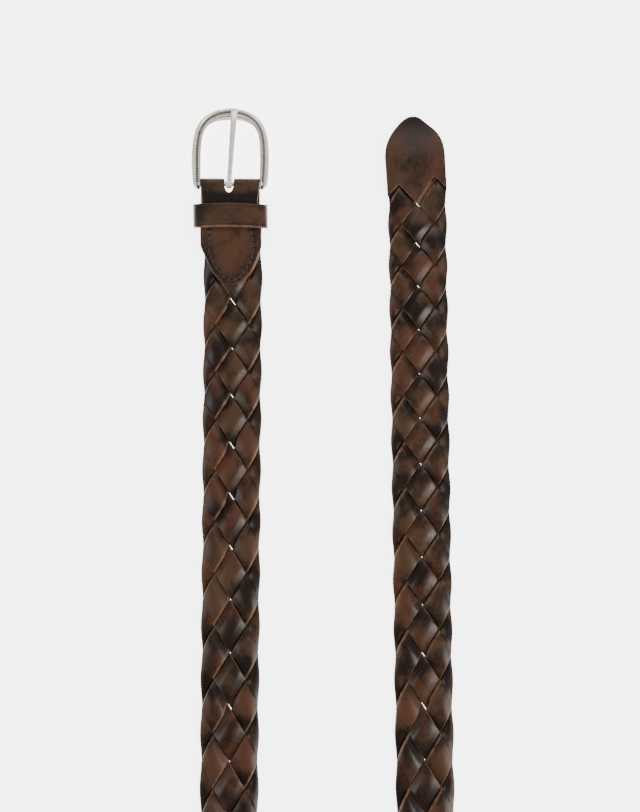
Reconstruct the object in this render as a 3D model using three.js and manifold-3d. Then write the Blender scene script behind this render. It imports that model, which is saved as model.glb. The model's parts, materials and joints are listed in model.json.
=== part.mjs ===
// Braided leather belt, lying front side up, laid out as a long loop that is left open at the buckle.
// Millimetres, +Z up. The two legs run along Y, with the buckle and the tip at their +Y ends.
// Places along the strap are given as the distance from the buckle's bar, down the left leg,
// round the loop and up the right leg to the tip.

import * as THREE from 'three';
import { mergeVertices } from 'three/addons/utils/BufferGeometryUtils.js';
import Module from 'manifold-3d';

const wasm = await Module();
wasm.setup();

// Strap and how it lies
const strapWidth = 35.5;
const legSpacing = 112.5; // between the middles of the two legs, level with the bar
const legLean = THREE.MathUtils.degToRad(0.6); // each leg leans away from the other, downwards
const flatLength = 385; // from the bar down to where the strap starts to turn on edge
const twistLength = 100; // the stretch over which it turns on edge
const buckleBow = 1.4; // how far the buckle lies off the straight leg, away from the other leg
const bowLength = 62; // the stretch below the bar over which the strap bows that far
const clearance = 0.3; // between pieces that touch

// Braid of four flat strips
const strandCount = 4;
const stripThickness = 1.8;
const stripFill = 0.83; // strip width as a share of one cell of the braid
const stripCrown = 0.3; // how far a strip's edges lie below its middle
const levelHeight = 1.55; // a strip's middle above or below the strap's middle
const edgeCrowding = 0.942; // radians; how far the cells narrow towards the strap's edges
const skivedThickness = 1.0; // of the strips' ends, inside the tabs
const skivedLevel = 1.0;
const buckleEndTaper = 17; // length over which the strips thicken below the tab's short flap
const buckleEndDrop = 22; // length over which the strap comes down from the bar's height
const tipEndTaper = 16; // length over which the strips thin out towards the tip

// Crossings of the braid counted from the buckle; down is a share of flatLength below the bar
const crossingTable = [
  { leg: 'left', down: 0.187, count: 0.5 },
  { leg: 'left', down: 0.416, count: 3.5 },
  { leg: 'left', down: 0.833, count: 8.5 },
  { leg: 'right', down: 0.833, count: 20.5 },
  { leg: 'right', down: 0.447, count: 25.5 },
  { leg: 'right', down: 0.164, count: 29.5 },
  { leg: 'right', down: 0.033, count: 31.5 },
];

// Buckle
const barRadius = 1.5;
const frameReach = 47; // from the bar to the frame's far edge
const frameHalfWidth = 24;
const frameThickness = 3.4;
const grooveDepth = 0.8;
const prongThickness = 2.4;
const prongWidth = 3.9;
const prongEyeWall = 1.1;
const prongTipReach = 46.2;
const prongTipOffset = 2.3; // the prong lies a little aslant, towards the other leg
const prongRootOffset = -0.6;

// The prong's shank: up is a share of prongTipReach, lift is a share of the height at which it
// lies on the frame, width and thickness are shares of prongWidth and prongThickness
const prongTable = [
  { up: 0.03, lift: 0.26, width: 0.8, thickness: 0.7 },
  { up: 0.09, lift: 0.48, width: 0.8, thickness: 0.9 },
  { up: 0.3, lift: 0.83, width: 0.84, thickness: 1.0 },
  { up: 0.55, lift: 0.96, width: 0.92, thickness: 1.0 },
  { up: 0.8, lift: 1.0, width: 1.0, thickness: 1.0 },
  { up: 0.93, lift: 1.0, width: 1.0, thickness: 0.85 },
  { up: 0.985, lift: 1.0, width: 0.8, thickness: 0.6 },
  { up: 1.0, lift: 1.0, width: 0.5, thickness: 0.4 },
];

// Half of the frame, from its far end to the bar's end, along the groove in its face:
// x and up as shares of frameHalfWidth and frameReach, outside and inside as shares of frameHalfWidth
const frameTable = [
  { x: 0.0, up: 0.95, outside: 0.1, inside: 0.215 },
  { x: 0.33, up: 0.92, outside: 0.104, inside: 0.19 },
  { x: 0.605, up: 0.838, outside: 0.117, inside: 0.142 },
  { x: 0.757, up: 0.724, outside: 0.127, inside: 0.11 },
  { x: 0.832, up: 0.575, outside: 0.134, inside: 0.1 },
  { x: 0.858, up: 0.362, outside: 0.142, inside: 0.1 },
  { x: 0.846, up: 0.128, outside: 0.138, inside: 0.088 },
  { x: 0.83, up: 0.0, outside: 0.125, inside: 0.062 },
  { x: 0.815, up: -0.052, outside: 0.08, inside: 0.045 },
  { x: 0.808, up: -0.074, outside: 0.03, inside: 0.02 },
];

// Folded tab that holds the bar
const tabThickness = 1.5;
const tabHalfWidth = 18;
const tabBackLength = 28;
const shieldLength = 62; // from the bar to the rounded point of the front flap
const slotWidth = 5.8;
const slotLength = 5.4; // below the bar

// Width of the front flap: at is a share of shieldLength, half is a share of tabHalfWidth
const shieldTable = [
  { at: 0.0, half: 1.0 },
  { at: 0.17, half: 0.95 },
  { at: 0.42, half: 0.985 },
  { at: 0.6, half: 0.99 },
  { at: 0.65, half: 0.955 },
  { at: 0.71, half: 0.885 },
  { at: 0.78, half: 0.8 },
  { at: 0.87, half: 0.655 },
  { at: 0.935, half: 0.475 },
  { at: 0.975, half: 0.29 },
  { at: 0.992, half: 0.17 },
  { at: 1.0, half: 0.06 },
];

// Keeper loop
const keeperStart = 12.2; // from the bar to its near edge
const keeperDepth = 14.6;
const keeperHalfWidth = 22.8;
const keeperHeight = 12.2;
const keeperWall = 1.5;

// Half outline of the keeper, seen along the strap, as shares of keeperHalfWidth and keeperHeight
const keeperTable = [
  { x: 0.0, z: 0.0 },
  { x: 0.79, z: 0.0 },
  { x: 0.93, z: 0.07 },
  { x: 0.99, z: 0.24 },
  { x: 1.0, z: 0.45 },
  { x: 0.95, z: 0.68 },
  { x: 0.8, z: 0.85 },
  { x: 0.5, z: 0.96 },
  { x: 0.0, z: 1.0 },
];

// Pointed tip
const tipReach = 41.3; // beyond the level of the bar
const tipPoint = 24; // length over which it narrows
const tipHalfWidth = 18.1;
const tipWall = 1.3;
const tipEndThickness = 3.4;
const tipPocket = 12.5; // the pocket's end, beyond the level of the bar
const tipDrift = 1.5; // how far its point lies towards the other leg

// Outline of the tip's point: at is a share of tipPoint from its end, inner and outer are its
// edges towards the other leg and away from it, as shares of tipHalfWidth
const tipTable = [
  { at: 0.0, inner: 0.14, outer: 0.1 },
  { at: 0.015, inner: 0.19, outer: 0.16 },
  { at: 0.05, inner: 0.24, outer: 0.22 },
  { at: 0.125, inner: 0.33, outer: 0.34 },
  { at: 0.235, inner: 0.46, outer: 0.51 },
  { at: 0.36, inner: 0.6, outer: 0.7 },
  { at: 0.54, inner: 0.79, outer: 0.87 },
  { at: 0.76, inner: 0.94, outer: 0.97 },
  { at: 1.0, inner: 1.0, outer: 1.0 },
];

// Lower edge of the tip: x as a share of tipHalfWidth, below in mm from the level of the bar
const tipEdgeTable = [
  { x: -1.0, below: 3.6 },
  { x: -0.45, below: -5.3 },
  { x: 0.07, below: 11.7 },
  { x: 0.56, below: 0.6 },
  { x: 1.0, below: 8.0 },
];

// Heights that follow from the layers
const strapThickness = 2 * levelHeight + stripThickness;
const skivedThicknessAll = 2 * skivedLevel + skivedThickness;
const tabInside = Math.max(2 * barRadius, skivedThicknessAll) + 2 * clearance;
const tabBottom = keeperWall + clearance;
const barHeight = tabBottom + tabThickness + tabInside / 2;
const tipMiddle = tipWall + clearance + skivedThicknessAll / 2;
const tipThickness = skivedThicknessAll + 2 * clearance + 2 * tipWall + stripCrown;
const tipEdgeDepth = Math.max(...tipEdgeTable.map((row) => row.below)) + clearance;

const leather = { color: 0x4b342b, roughness: 0.42, metalness: 0.0 };
const silver = { color: 0xded9d3, roughness: 0.22, metalness: 1.0 };

const smooth = (t) => {
  const u = THREE.MathUtils.clamp(t, 0, 1);
  return u * u * (3 - 2 * u);
};

// Straight-line reading of a table's column
function readTable(table, from, to, value) {
  let i = 1;
  while (i < table.length - 1 && table[i][from] < value) i += 1;
  const a = table[i - 1];
  const b = table[i];
  const share = (value - a[from]) / (b[from] - a[from]);
  return a[to] + (b[to] - a[to]) * share;
}

// Smooth curve through a table's column, with even weight on every row
function curveThrough(values) {
  const points = values.map((value, i) => new THREE.Vector3(i, value, 0));
  const curve = new THREE.CatmullRomCurve3(points, false, 'catmullrom', 0.5);
  return (t) => curve.getPoint(t).y;
}

// Plan of the loop: a straight leg, then a bend that tightens while the strap turns on edge
const curveStep = 0.5;
const bisections = 40;
const halfTurn = Math.PI / 2 + legLean;
const halfLoopWidth = legSpacing / 2 + flatLength * Math.sin(legLean);

function bendPlan(tightest) {
  const length = twistLength / 2 + halfTurn / tightest;
  const steps = Math.ceil(length / curveStep);
  const points = [{ across: 0, down: 0, turn: 0 }];
  for (let i = 0; i < steps; i += 1) {
    const last = points[i];
    const middle = ((i + 0.5) * length) / steps;
    const bend = tightest * smooth(middle / twistLength);
    const turn = last.turn + (bend * length) / steps;
    const heading = (last.turn + turn) / 2 - legLean;
    points.push({
      across: last.across + (Math.sin(heading) * length) / steps,
      down: last.down + (Math.cos(heading) * length) / steps,
      turn,
    });
  }
  return { length, steps, points, width: points[steps].across };
}

function findBend() {
  let loose = 0.25 / halfLoopWidth;
  let tight = 4 / halfLoopWidth;
  for (let i = 0; i < bisections; i += 1) {
    const middle = (loose + tight) / 2;
    if (bendPlan(middle).width > halfLoopWidth) loose = middle;
    else tight = middle;
  }
  return bendPlan((loose + tight) / 2);
}

const bend = findBend();
const loopMiddle = flatLength + bend.length;
const barLevelRight = 2 * loopMiddle; // where the right leg passes the level of the bar

// Middle of the strap on its left half, in plan, with its heading and its turn on edge
function leftHalf(distance) {
  const past = Math.max(distance - flatLength, 0);
  const straight = Math.min(distance, flatLength);
  const at = Math.min((past / bend.length) * bend.steps, bend.steps - 1e-9);
  const i = Math.floor(at);
  const a = bend.points[i];
  const b = bend.points[i + 1];
  const across = a.across + (b.across - a.across) * (at - i);
  const down = a.down + (b.down - a.down) * (at - i);
  const heading = a.turn + (b.turn - a.turn) * (at - i) - legLean;
  return {
    x: -legSpacing / 2 - straight * Math.sin(legLean) + across,
    y: -straight * Math.cos(legLean) - down,
    heading,
    roll: (Math.PI / 2) * smooth(past / twistLength),
  };
}

// How much of the strips' full thickness is left, from 0 inside the tabs to 1 in the open
function fullness(distance) {
  const atBuckle = smooth((distance - tabBackLength) / buckleEndTaper);
  const atTip = smooth((barLevelRight - tipEdgeDepth - distance) / tipEndTaper);
  return Math.min(atBuckle, atTip);
}

const stripThicknessAt = (distance) =>
  skivedThickness + (stripThickness - skivedThickness) * fullness(distance);
const levelHeightAt = (distance) => skivedLevel + (levelHeight - skivedLevel) * fullness(distance);

// Height of the strap's middle while it lies flat
function flatMiddle(distance) {
  const onGround = strapThickness / 2;
  const dropped = smooth((distance - tabBackLength) / buckleEndDrop);
  const atBuckle = barHeight + (onGround - barHeight) * dropped;
  const atTip = tipMiddle + (onGround - tipMiddle) * fullness(distance);
  return distance < loopMiddle ? atBuckle : atTip;
}

// Point of the strap: across is towards the other leg, height is out of its front
function strapPoint(distance, across, height) {
  const right = distance > loopMiddle;
  const half = leftHalf(right ? 2 * loopMiddle - distance : distance);
  const side = right ? -1 : 1;
  const inward = new THREE.Vector3(side * Math.cos(half.heading), Math.sin(half.heading), 0);
  const up = new THREE.Vector3(0, 0, 1);
  const [cos, sin] = [Math.cos(half.roll), Math.sin(half.roll)];
  const acrossDirection = inward.clone().multiplyScalar(cos).addScaledVector(up, sin);
  const outDirection = up.clone().multiplyScalar(cos).addScaledVector(inward, -sin);
  const middle = (strapWidth / 2) * sin + flatMiddle(distance) * cos;
  const bow = buckleBow * smooth(1 - distance / bowLength);
  return new THREE.Vector3(side * half.x, half.y, middle)
    .addScaledVector(acrossDirection, across - bow)
    .addScaledVector(outDirection, height);
}

// Point beside a flat leg, at a height above the ground
function legPoint(distance, across, height) {
  return strapPoint(distance, across, height - flatMiddle(distance));
}

// Closed body from rings of points; looped joins the last ring to the first instead of capping
function loft(rings, looped = false) {
  const count = rings[0].length;
  const points = rings.flat();
  const triangles = [];
  const spans = looped ? rings.length : rings.length - 1;
  for (let i = 0; i < spans; i += 1) {
    const next = (i + 1) % rings.length;
    for (let j = 0; j < count; j += 1) {
      const a = i * count + j;
      const b = i * count + ((j + 1) % count);
      const c = next * count + ((j + 1) % count);
      const d = next * count + j;
      triangles.push(a, b, c, a, c, d);
    }
  }
  if (!looped) {
    const last = (rings.length - 1) * count;
    for (let j = 1; j < count - 1; j += 1) {
      triangles.push(0, j + 1, j, last, last + j, last + j + 1);
    }
  }
  return facingOut(points, triangles);
}

function facingOut(points, triangles) {
  let volume = 0;
  for (let i = 0; i < triangles.length; i += 3) {
    const [a, b, c] = [points[triangles[i]], points[triangles[i + 1]], points[triangles[i + 2]]];
    volume += a.dot(b.clone().cross(c));
  }
  const order = volume < 0 ? [0, 2, 1] : [0, 1, 2];
  const index = [];
  for (let i = 0; i < triangles.length; i += 3) {
    index.push(...order.map((k) => triangles[i + k]));
  }
  const positions = points.flatMap((p) => p.toArray());
  const geometry = new THREE.BufferGeometry();
  geometry.setAttribute('position', new THREE.Float32BufferAttribute(positions, 3));
  geometry.setIndex(index);
  return geometry;
}

// Upright body on an outline of { beyond, across } places, between two heights
function prism(outline, heights, place) {
  const flat = outline.map((p) => new THREE.Vector2(p.across, p.beyond));
  const order = THREE.ShapeUtils.isClockWise(flat) ? outline.slice().reverse() : outline;
  const contour = order.map((p) => new THREE.Vector2(p.across, p.beyond));
  const count = order.length;
  const triangles = [];
  for (const face of THREE.ShapeUtils.triangulateShape(contour, [])) {
    const clockwise = THREE.ShapeUtils.isClockWise(face.map((i) => contour[i]));
    const [a, b, c] = clockwise ? face.slice().reverse() : face;
    triangles.push(a, c, b, a + count, b + count, c + count);
  }
  for (let i = 0; i < count; i += 1) {
    const next = (i + 1) % count;
    triangles.push(i, next, next + count, i, next + count, i + count);
  }
  return facingOut(heights.flatMap((height) => order.map((p) => place(p, height))), triangles);
}

function toSolid(geometry) {
  const bare = geometry.clone();
  bare.deleteAttribute('normal');
  bare.deleteAttribute('uv');
  const merged = mergeVertices(bare, 1e-4);
  return new wasm.Manifold(
    new wasm.Mesh({
      numProp: 3,
      vertProperties: Float32Array.from(merged.attributes.position.array),
      triVerts: Uint32Array.from(merged.index.array),
    }),
  );
}

function fromSolid(solid) {
  const mesh = solid.getMesh();
  const geometry = new THREE.BufferGeometry();
  const positions = [];
  for (let i = 0; i < mesh.vertProperties.length; i += mesh.numProp) {
    positions.push(...mesh.vertProperties.slice(i, i + 3));
  }
  geometry.setAttribute('position', new THREE.Float32BufferAttribute(positions, 3));
  geometry.setIndex(Array.from(mesh.triVerts));
  return geometry;
}

// Braid: a strip runs through cells of a skewed chart. Rising strips keep their column and move
// inwards, falling ones keep their row and move outwards, and they turn at the strap's edges.
const cellsAcross = 4;
const halfStrip = stripFill / 2;
const turnChamfer = 0.04;

// Share of the full level at a distance, in cells, from the last turn
const levelTable = [
  { from: 0.0, level: 0.0 },
  { from: 0.25, level: 0.45 },
  { from: 0.46, level: 0.75 },
  { from: 0.61, level: 1.0 },
  { from: 1.0, level: 1.0 },
  { from: 1.39, level: 1.0 },
  { from: 1.61, level: -1.0 },
  { from: 2.0, level: -1.0 },
];
const cellMiddles = [1.0, 2.0]; // only on the bend do the strips need sections there
const firstColumn = -8; // of the first strip's first rise, before the buckle end
const shortestSpan = 0.1; // between a strip's end and its next section, in cells

function countToDistance(count) {
  const places = crossingTable.map((row) => ({
    count: row.count,
    distance: row.leg === 'left' ? row.down * flatLength : barLevelRight - row.down * flatLength,
  }));
  const last = places.length - 1;
  let i = 0;
  while (i < last - 1 && places[i + 1].count < count) i += 1;
  const slope = (k) => {
    const a = places[Math.max(k - 1, 0)];
    const b = places[Math.min(k + 1, last)];
    return (b.distance - a.distance) / (b.count - a.count);
  };
  const a = places[i];
  const b = places[i + 1];
  if (count < a.count) return a.distance + slope(0) * (count - a.count);
  if (count > b.count) return b.distance + slope(last) * (count - b.count);
  const gap = b.count - a.count;
  const t = (count - a.count) / gap;
  return (
    a.distance * (1 + 2 * t) * (1 - t) ** 2 +
    slope(i) * gap * t * (1 - t) ** 2 +
    b.distance * t * t * (3 - 2 * t) +
    slope(i + 1) * gap * t * t * (t - 1)
  );
}

// Chart coordinates of a strip's edge; side is +1 towards the other leg, -1 away from it
function chartEdge(column, along, side) {
  const turn = Math.round(along / cellsAcross);
  const rightTurn = Math.abs(turn % 2) === 1;
  const past = along - turn * cellsAcross;
  const reach = halfStrip + turnChamfer;
  const share = THREE.MathUtils.clamp((past + reach) / (2 * reach), 0, 1);
  const outerSide = rightTurn ? 1 : -1;
  const outer = side === outerSide;
  // Movement away from the turn, first along the old direction and then along the new one
  let before;
  let after;
  if (outer) {
    before = Math.min(past, halfStrip);
    after = Math.max(past, -halfStrip);
  } else {
    before = past < -reach ? past : -halfStrip - turnChamfer * (1 - share);
    after = past > reach ? past : halfStrip + turnChamfer * share;
  }
  const turnColumn = column + 2 * turn - (rightTurn ? 2 : 0);
  const turnRow = column + 2 * turn + (rightTurn ? 2 : 0);
  return rightTurn
    ? { column: turnColumn + after, row: turnRow + before }
    : { column: turnColumn + before, row: turnRow + after };
}

function chartLevel(along) {
  const turn = Math.round(along / cellsAcross);
  const past = along - turn * cellsAcross;
  const side = Math.abs(turn % 2) === 1 ? 1 : -1;
  return side * Math.sign(past) * readTable(levelTable, 'from', 'level', Math.abs(past));
}

function chartPoint(place) {
  const share = THREE.MathUtils.clamp((place.row - place.column) / 2 - 1, -1, 1);
  return {
    distance: countToDistance((place.column + place.row) / 2),
    across: ((strapWidth / 2) * Math.sin(edgeCrowding * share)) / Math.sin(edgeCrowding),
  };
}

function strandGeometry(k) {
  const first = firstColumn + k;
  const start = strandLimits.start + halfStrip / 2 - first;
  const end = strandLimits.end - halfStrip / 2 - first;
  const stations = [2 * start];
  const onBend = (along) => {
    const distance = countToDistance(first + along / 2);
    return distance > flatLength && distance < barLevelRight - flatLength;
  };
  for (let turn = 0; turn * cellsAcross < 2 * end + cellsAcross; turn += 1) {
    const after = levelTable.map((row) => row.from);
    const before = after.slice(1, -1).map((place) => -place).reverse();
    for (const place of [...before, ...after]) {
      const along = turn * cellsAcross + place;
      const needed = !cellMiddles.includes(Math.abs(place)) || onBend(along);
      const inside = along > 2 * start + shortestSpan && along < 2 * end - shortestSpan;
      if (needed && inside) stations.push(along);
    }
  }
  stations.push(2 * end);
  const rings = stations.map((along) => {
    const left = chartEdge(first, along, -1);
    const right = chartEdge(first, along, 1);
    const middle = { column: (left.column + right.column) / 2, row: (left.row + right.row) / 2 };
    const level = chartLevel(along);
    const corner = (place, side) => {
      const { distance, across } = chartPoint(place);
      const base = level * levelHeightAt(distance);
      const half = stripThicknessAt(distance) / 2;
      const lift = { top: half, shoulder: half - stripCrown, bottom: -half };
      return strapPoint(distance, across, base + lift[side]);
    };
    return [
      corner(left, 'shoulder'),
      corner(middle, 'top'),
      corner(right, 'shoulder'),
      corner(right, 'bottom'),
      corner(left, 'bottom'),
    ];
  });
  return loft(rings);
}

// Counts at which the strips end, found from the places of their ends inside the two tabs
function distanceToCount(distance) {
  let low = -10;
  let high = 60;
  for (let i = 0; i < bisections; i += 1) {
    const middle = (low + high) / 2;
    if (countToDistance(middle) < distance) low = middle;
    else high = middle;
  }
  return (low + high) / 2;
}

const strandLimits = {
  start: distanceToCount(slotLength + 2 * clearance),
  end: distanceToCount(barLevelRight + tipPocket - clearance),
};

// Buckle: place is given by x along the bar, up away from the strap and height above the frame's plane
const frameTilt = Math.asin((barHeight - frameThickness / 2) / frameReach);

function bucklePoint(x, up, height) {
  const y = up * Math.cos(frameTilt) + height * Math.sin(frameTilt);
  const z = barHeight - up * Math.sin(frameTilt) + height * Math.cos(frameTilt);
  return legPoint(-y, x, z);
}

const frameStepsPerRow = 3;
const tangentStep = 0.002;
const endRoundness = 0.35; // thickness at the frame's very ends, beyond the bar
const grooveRim = 0.92; // share of half the thickness at which the groove starts

// Section across the frame's band: reach is a share of the width outside or inside the groove,
// height is a share of half the thickness
const bandTable = [
  { reach: -1.0, height: -0.7 },
  { reach: -0.8, height: -1.0 },
  { reach: 0.8, height: -1.0 },
  { reach: 1.0, height: -0.5 },
  { reach: 0.96, height: 0.35 },
  { reach: 0.62, height: 0.95 },
  { reach: 0.22, height: 0.92 },
  { reach: 0.0, height: 'groove' },
  { reach: -0.2, height: 0.85 },
  { reach: -0.65, height: 0.8 },
  { reach: -1.0, height: 0.1 },
];

function frameGeometry() {
  const column = (name) => curveThrough(frameTable.map((row) => row[name]));
  const [x, up, outside, inside] = ['x', 'up', 'outside', 'inside'].map(column);
  const steps = (frameTable.length - 1) * frameStepsPerRow;
  const half = Array.from({ length: steps + 1 }, (_, i) => i / steps);
  const middle = (t) => new THREE.Vector2(x(t) * frameHalfWidth, up(t) * frameReach);
  const ring = (t, side) => {
    const ahead = middle(Math.min(t + tangentStep, 1));
    const tangent = ahead.sub(middle(Math.max(t - tangentStep, 0))).normalize();
    const out = t === 0 ? new THREE.Vector2(0, 1) : new THREE.Vector2(-tangent.y, tangent.x);
    const rowsLeft = (1 - t) * (frameTable.length - 1);
    const endRound = Math.sqrt(1 - (1 - Math.min(rowsLeft + endRoundness, 1)) ** 2);
    return bandTable.map((row) => {
      const width = (row.reach > 0 ? outside(t) : inside(t)) * frameHalfWidth;
      const place = middle(t).addScaledVector(out, row.reach * width);
      const floor = grooveRim - (2 * grooveDepth) / frameThickness;
      const share = row.height === 'groove' ? floor : row.height;
      return bucklePoint(side * place.x, place.y, (share * frameThickness * endRound) / 2);
    });
  };
  const left = half.slice(1).reverse().map((t) => ring(t, -1));
  const right = half.map((t) => ring(t, 1));
  return loft([...left, ...right]);
}

function barGeometry() {
  const sides = 12;
  const halfLength = frameTable.find((row) => row.up === 0).x * frameHalfWidth;
  const rings = [-1, 1].map((side) =>
    Array.from({ length: sides }, (_, i) => {
      const angle = (2 * Math.PI * i) / sides;
      return bucklePoint(side * halfLength, barRadius * Math.cos(angle), barRadius * Math.sin(angle));
    }),
  );
  return loft(rings);
}

const eyeInner = barRadius + clearance;
const eyeOuter = eyeInner + prongEyeWall;
const eyeSides = 16;

function prongShank() {
  const sides = 10;
  const rings = prongTable.map((row) => {
    const drift = prongRootOffset + (prongTipOffset - prongRootOffset) * row.up;
    const halfWidth = (row.width * prongWidth) / 2;
    const halfThickness = (row.thickness * prongThickness) / 2;
    const lift = row.lift * (frameThickness / 2 + clearance + halfThickness);
    return Array.from({ length: sides }, (_, i) => {
      const angle = (2 * Math.PI * (i + 0.5)) / sides;
      const x = drift + halfWidth * Math.cos(angle);
      return bucklePoint(x, row.up * prongTipReach, lift + halfThickness * Math.sin(angle));
    });
  });
  return loft(rings);
}

function prongEye() {
  const halfWidth = (prongTable[0].width * prongWidth) / 2;
  const rings = Array.from({ length: eyeSides }, (_, i) => {
    const angle = (2 * Math.PI * i) / eyeSides;
    const corner = (side, radius) =>
      bucklePoint(prongRootOffset + side * halfWidth, radius * Math.cos(angle), radius * Math.sin(angle));
    return [corner(-1, eyeInner), corner(1, eyeInner), corner(1, eyeOuter), corner(-1, eyeOuter)];
  });
  return loft(rings, true);
}

function prongGeometry() {
  const hole = loft(
    [-1, 1].map((side) =>
      Array.from({ length: eyeSides }, (_, i) => {
        const angle = (2 * Math.PI * i) / eyeSides;
        return bucklePoint(side * prongWidth, eyeInner * Math.cos(angle), eyeInner * Math.sin(angle));
      }),
    ),
  );
  return fromSolid(toSolid(prongShank()).add(toSolid(prongEye())).subtract(toSolid(hole)));
}

// Sections of the tab's front flap, as shares of shieldLength, closer together round its point
const flapShares = [
  0.0, 0.17, 0.42, 0.5, 0.55, 0.6, 0.65, 0.71, 0.745,
  0.78, 0.825, 0.87, 0.905, 0.935, 0.96, 0.975, 0.992, 1.0,
];

// Tab: one sheet folded round the bar, with the long flap in front and the short one behind
function tabGeometry() {
  const middleRadius = tabInside / 2 + tabThickness / 2;
  const foldSteps = 10;
  const stations = [];
  for (const distance of [tabBackLength, tabBackLength / 2, 0]) {
    stations.push({ distance, height: barHeight - middleRadius, lean: Math.PI, half: tabHalfWidth });
  }
  for (let i = 1; i < foldSteps; i += 1) {
    const angle = (Math.PI * i) / foldSteps;
    stations.push({
      distance: -middleRadius * Math.sin(angle),
      height: barHeight - middleRadius * Math.cos(angle),
      lean: Math.PI - angle,
      half: tabHalfWidth,
    });
  }
  const flapHeight = (distance) =>
    Math.max(
      flatMiddle(distance) + levelHeightAt(distance) + stripThicknessAt(distance) / 2 + clearance,
      distance < tabBackLength ? barHeight + tabInside / 2 : 0,
    ) + tabThickness / 2;
  for (const share of flapShares) {
    stations.push({
      distance: share * shieldLength,
      height: flapHeight(share * shieldLength),
      lean: 0,
      half: readTable(shieldTable, 'at', 'half', share) * tabHalfWidth,
    });
  }
  const rings = stations.map(({ distance, height, lean, half }) => {
    const corner = (across, out) =>
      legPoint(distance - out * Math.sin(lean), across, height + out * Math.cos(lean));
    const t = tabThickness / 2;
    return [corner(-half, t), corner(half, t), corner(half, -t), corner(-half, -t)];
  });
  return fromSolid(toSolid(loft(rings)).subtract(toSolid(slotGeometry())));
}

// Slot for the prong: straight sides and a round end, cut through the fold and both flaps
function slotGeometry() {
  const radius = slotWidth / 2;
  const steps = 8;
  const outline = [
    { distance: -tabThickness - tabInside, across: prongRootOffset - radius },
    { distance: -tabThickness - tabInside, across: prongRootOffset + radius },
  ];
  for (let i = 0; i <= steps; i += 1) {
    const angle = (Math.PI * i) / steps;
    outline.push({
      distance: slotLength - radius + radius * Math.sin(angle),
      across: prongRootOffset + radius * Math.cos(angle),
    });
  }
  const top = barHeight + tabInside + tabThickness;
  return loft([0, top].map((height) => outline.map((p) => legPoint(p.distance, p.across, height))));
}

function keeperGeometry() {
  const half = keeperTable.map((row) => new THREE.Vector2(row.x * keeperHalfWidth, row.z * keeperHeight));
  const mirrored = half.slice(1, -1).reverse().map((p) => new THREE.Vector2(-p.x, p.y));
  const outline = [...half, ...mirrored];
  const rings = outline.map((point, i) => {
    const before = outline[(i + outline.length - 1) % outline.length];
    const after = outline[(i + 1) % outline.length];
    const into = (a, b) => new THREE.Vector2(a.y - b.y, b.x - a.x).normalize();
    const first = into(before, point);
    const second = into(point, after);
    const inward = first.clone().add(second).normalize();
    const inner = point.clone().addScaledVector(inward, keeperWall / inward.dot(first));
    const end = keeperStart + keeperDepth;
    return [
      legPoint(keeperStart, point.x, point.y),
      legPoint(end, point.x, point.y),
      legPoint(end, inner.x, inner.y),
      legPoint(keeperStart, inner.x, inner.y),
    ];
  });
  return loft(rings, true);
}

// Tip: pointed plate with a pocket that takes the ends of the strips
function tipGeometry() {
  const place = (p, height) => legPoint(barLevelRight + p.beyond, p.across, height);
  const lowest = -tipEdgeDepth - clearance;
  const column = (name) => curveThrough(tipTable.map((row) => row[name]));
  const [at, inner, outer] = ['at', 'inner', 'outer'].map(column);
  const stations = [
    { beyond: lowest, inner: 1, outer: 1 },
    { beyond: tipPocket, inner: 1, outer: 1 },
  ];
  const pointSteps = 2 * (tipTable.length - 1);
  for (let i = pointSteps; i >= 0; i -= 1) {
    const t = i / pointSteps;
    stations.push({ beyond: tipReach - tipPoint * at(t), inner: inner(t), outer: outer(t) });
  }
  const rings = stations.map((station) => {
    const { beyond } = station;
    const drift = (tipDrift * (beyond - lowest)) / (tipReach - lowest);
    const left = drift + station.inner * tipHalfWidth;
    const right = drift - station.outer * tipHalfWidth;
    const narrowing = smooth((beyond - tipPocket) / (tipReach - tipPocket));
    const thickness = tipThickness + (tipEndThickness - tipThickness) * narrowing;
    return [
      place({ beyond, across: right }, 0),
      place({ beyond, across: left }, 0),
      place({ beyond, across: left }, thickness - stripCrown),
      place({ beyond, across: (left + right) / 2 }, thickness),
      place({ beyond, across: right }, thickness - stripCrown),
    ];
  });
  const wide = 2 * tipHalfWidth;
  const pocket = prism(
    [
      { beyond: 2 * lowest, across: -wide },
      { beyond: 2 * lowest, across: wide },
      { beyond: tipPocket, across: wide },
      { beyond: tipPocket, across: -wide },
    ],
    [tipWall, tipThickness - stripCrown - tipWall],
    place,
  );
  const edge = tipEdgeTable.map((row) => ({ beyond: -row.below, across: row.x * tipHalfWidth }));
  const below = prism(
    [
      { beyond: 2 * lowest, across: -wide },
      { beyond: edge[0].beyond, across: -wide },
      ...edge,
      { beyond: edge[edge.length - 1].beyond, across: wide },
      { beyond: 2 * lowest, across: wide },
    ],
    [-tipThickness, 2 * tipThickness],
    place,
  );
  return fromSolid(toSolid(loft(rings)).subtract(toSolid(pocket)).subtract(toSolid(below)));
}

const group = new THREE.Group();

function addPiece(name, geometry, look) {
  const mesh = new THREE.Mesh(geometry, new THREE.MeshStandardMaterial(look));
  mesh.name = name;
  group.add(mesh);
}

addPiece('buckle_frame', fromSolid(toSolid(frameGeometry()).add(toSolid(barGeometry()))), silver);
addPiece('buckle_prong', prongGeometry(), silver);
addPiece('buckle_tab', tabGeometry(), leather);
addPiece('keeper_loop', keeperGeometry(), leather);
for (let k = 0; k < strandCount; k += 1) {
  addPiece(`strand_${k + 1}`, strandGeometry(k), leather);
}
addPiece('tip_tab', tipGeometry(), leather);

// The origin is in the middle of the belt's box, on the ground
const box = new THREE.Box3().setFromObject(group);
const middle = box.getCenter(new THREE.Vector3());
group.position.set(-middle.x, -middle.y, -box.min.z);
group.updateMatrixWorld(true);

export default group;
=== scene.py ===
"""Braided leather belt lying front side up, with its buckle, keeper, stitched tab and pointed tip."""
import json
import math
from math import pi

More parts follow.
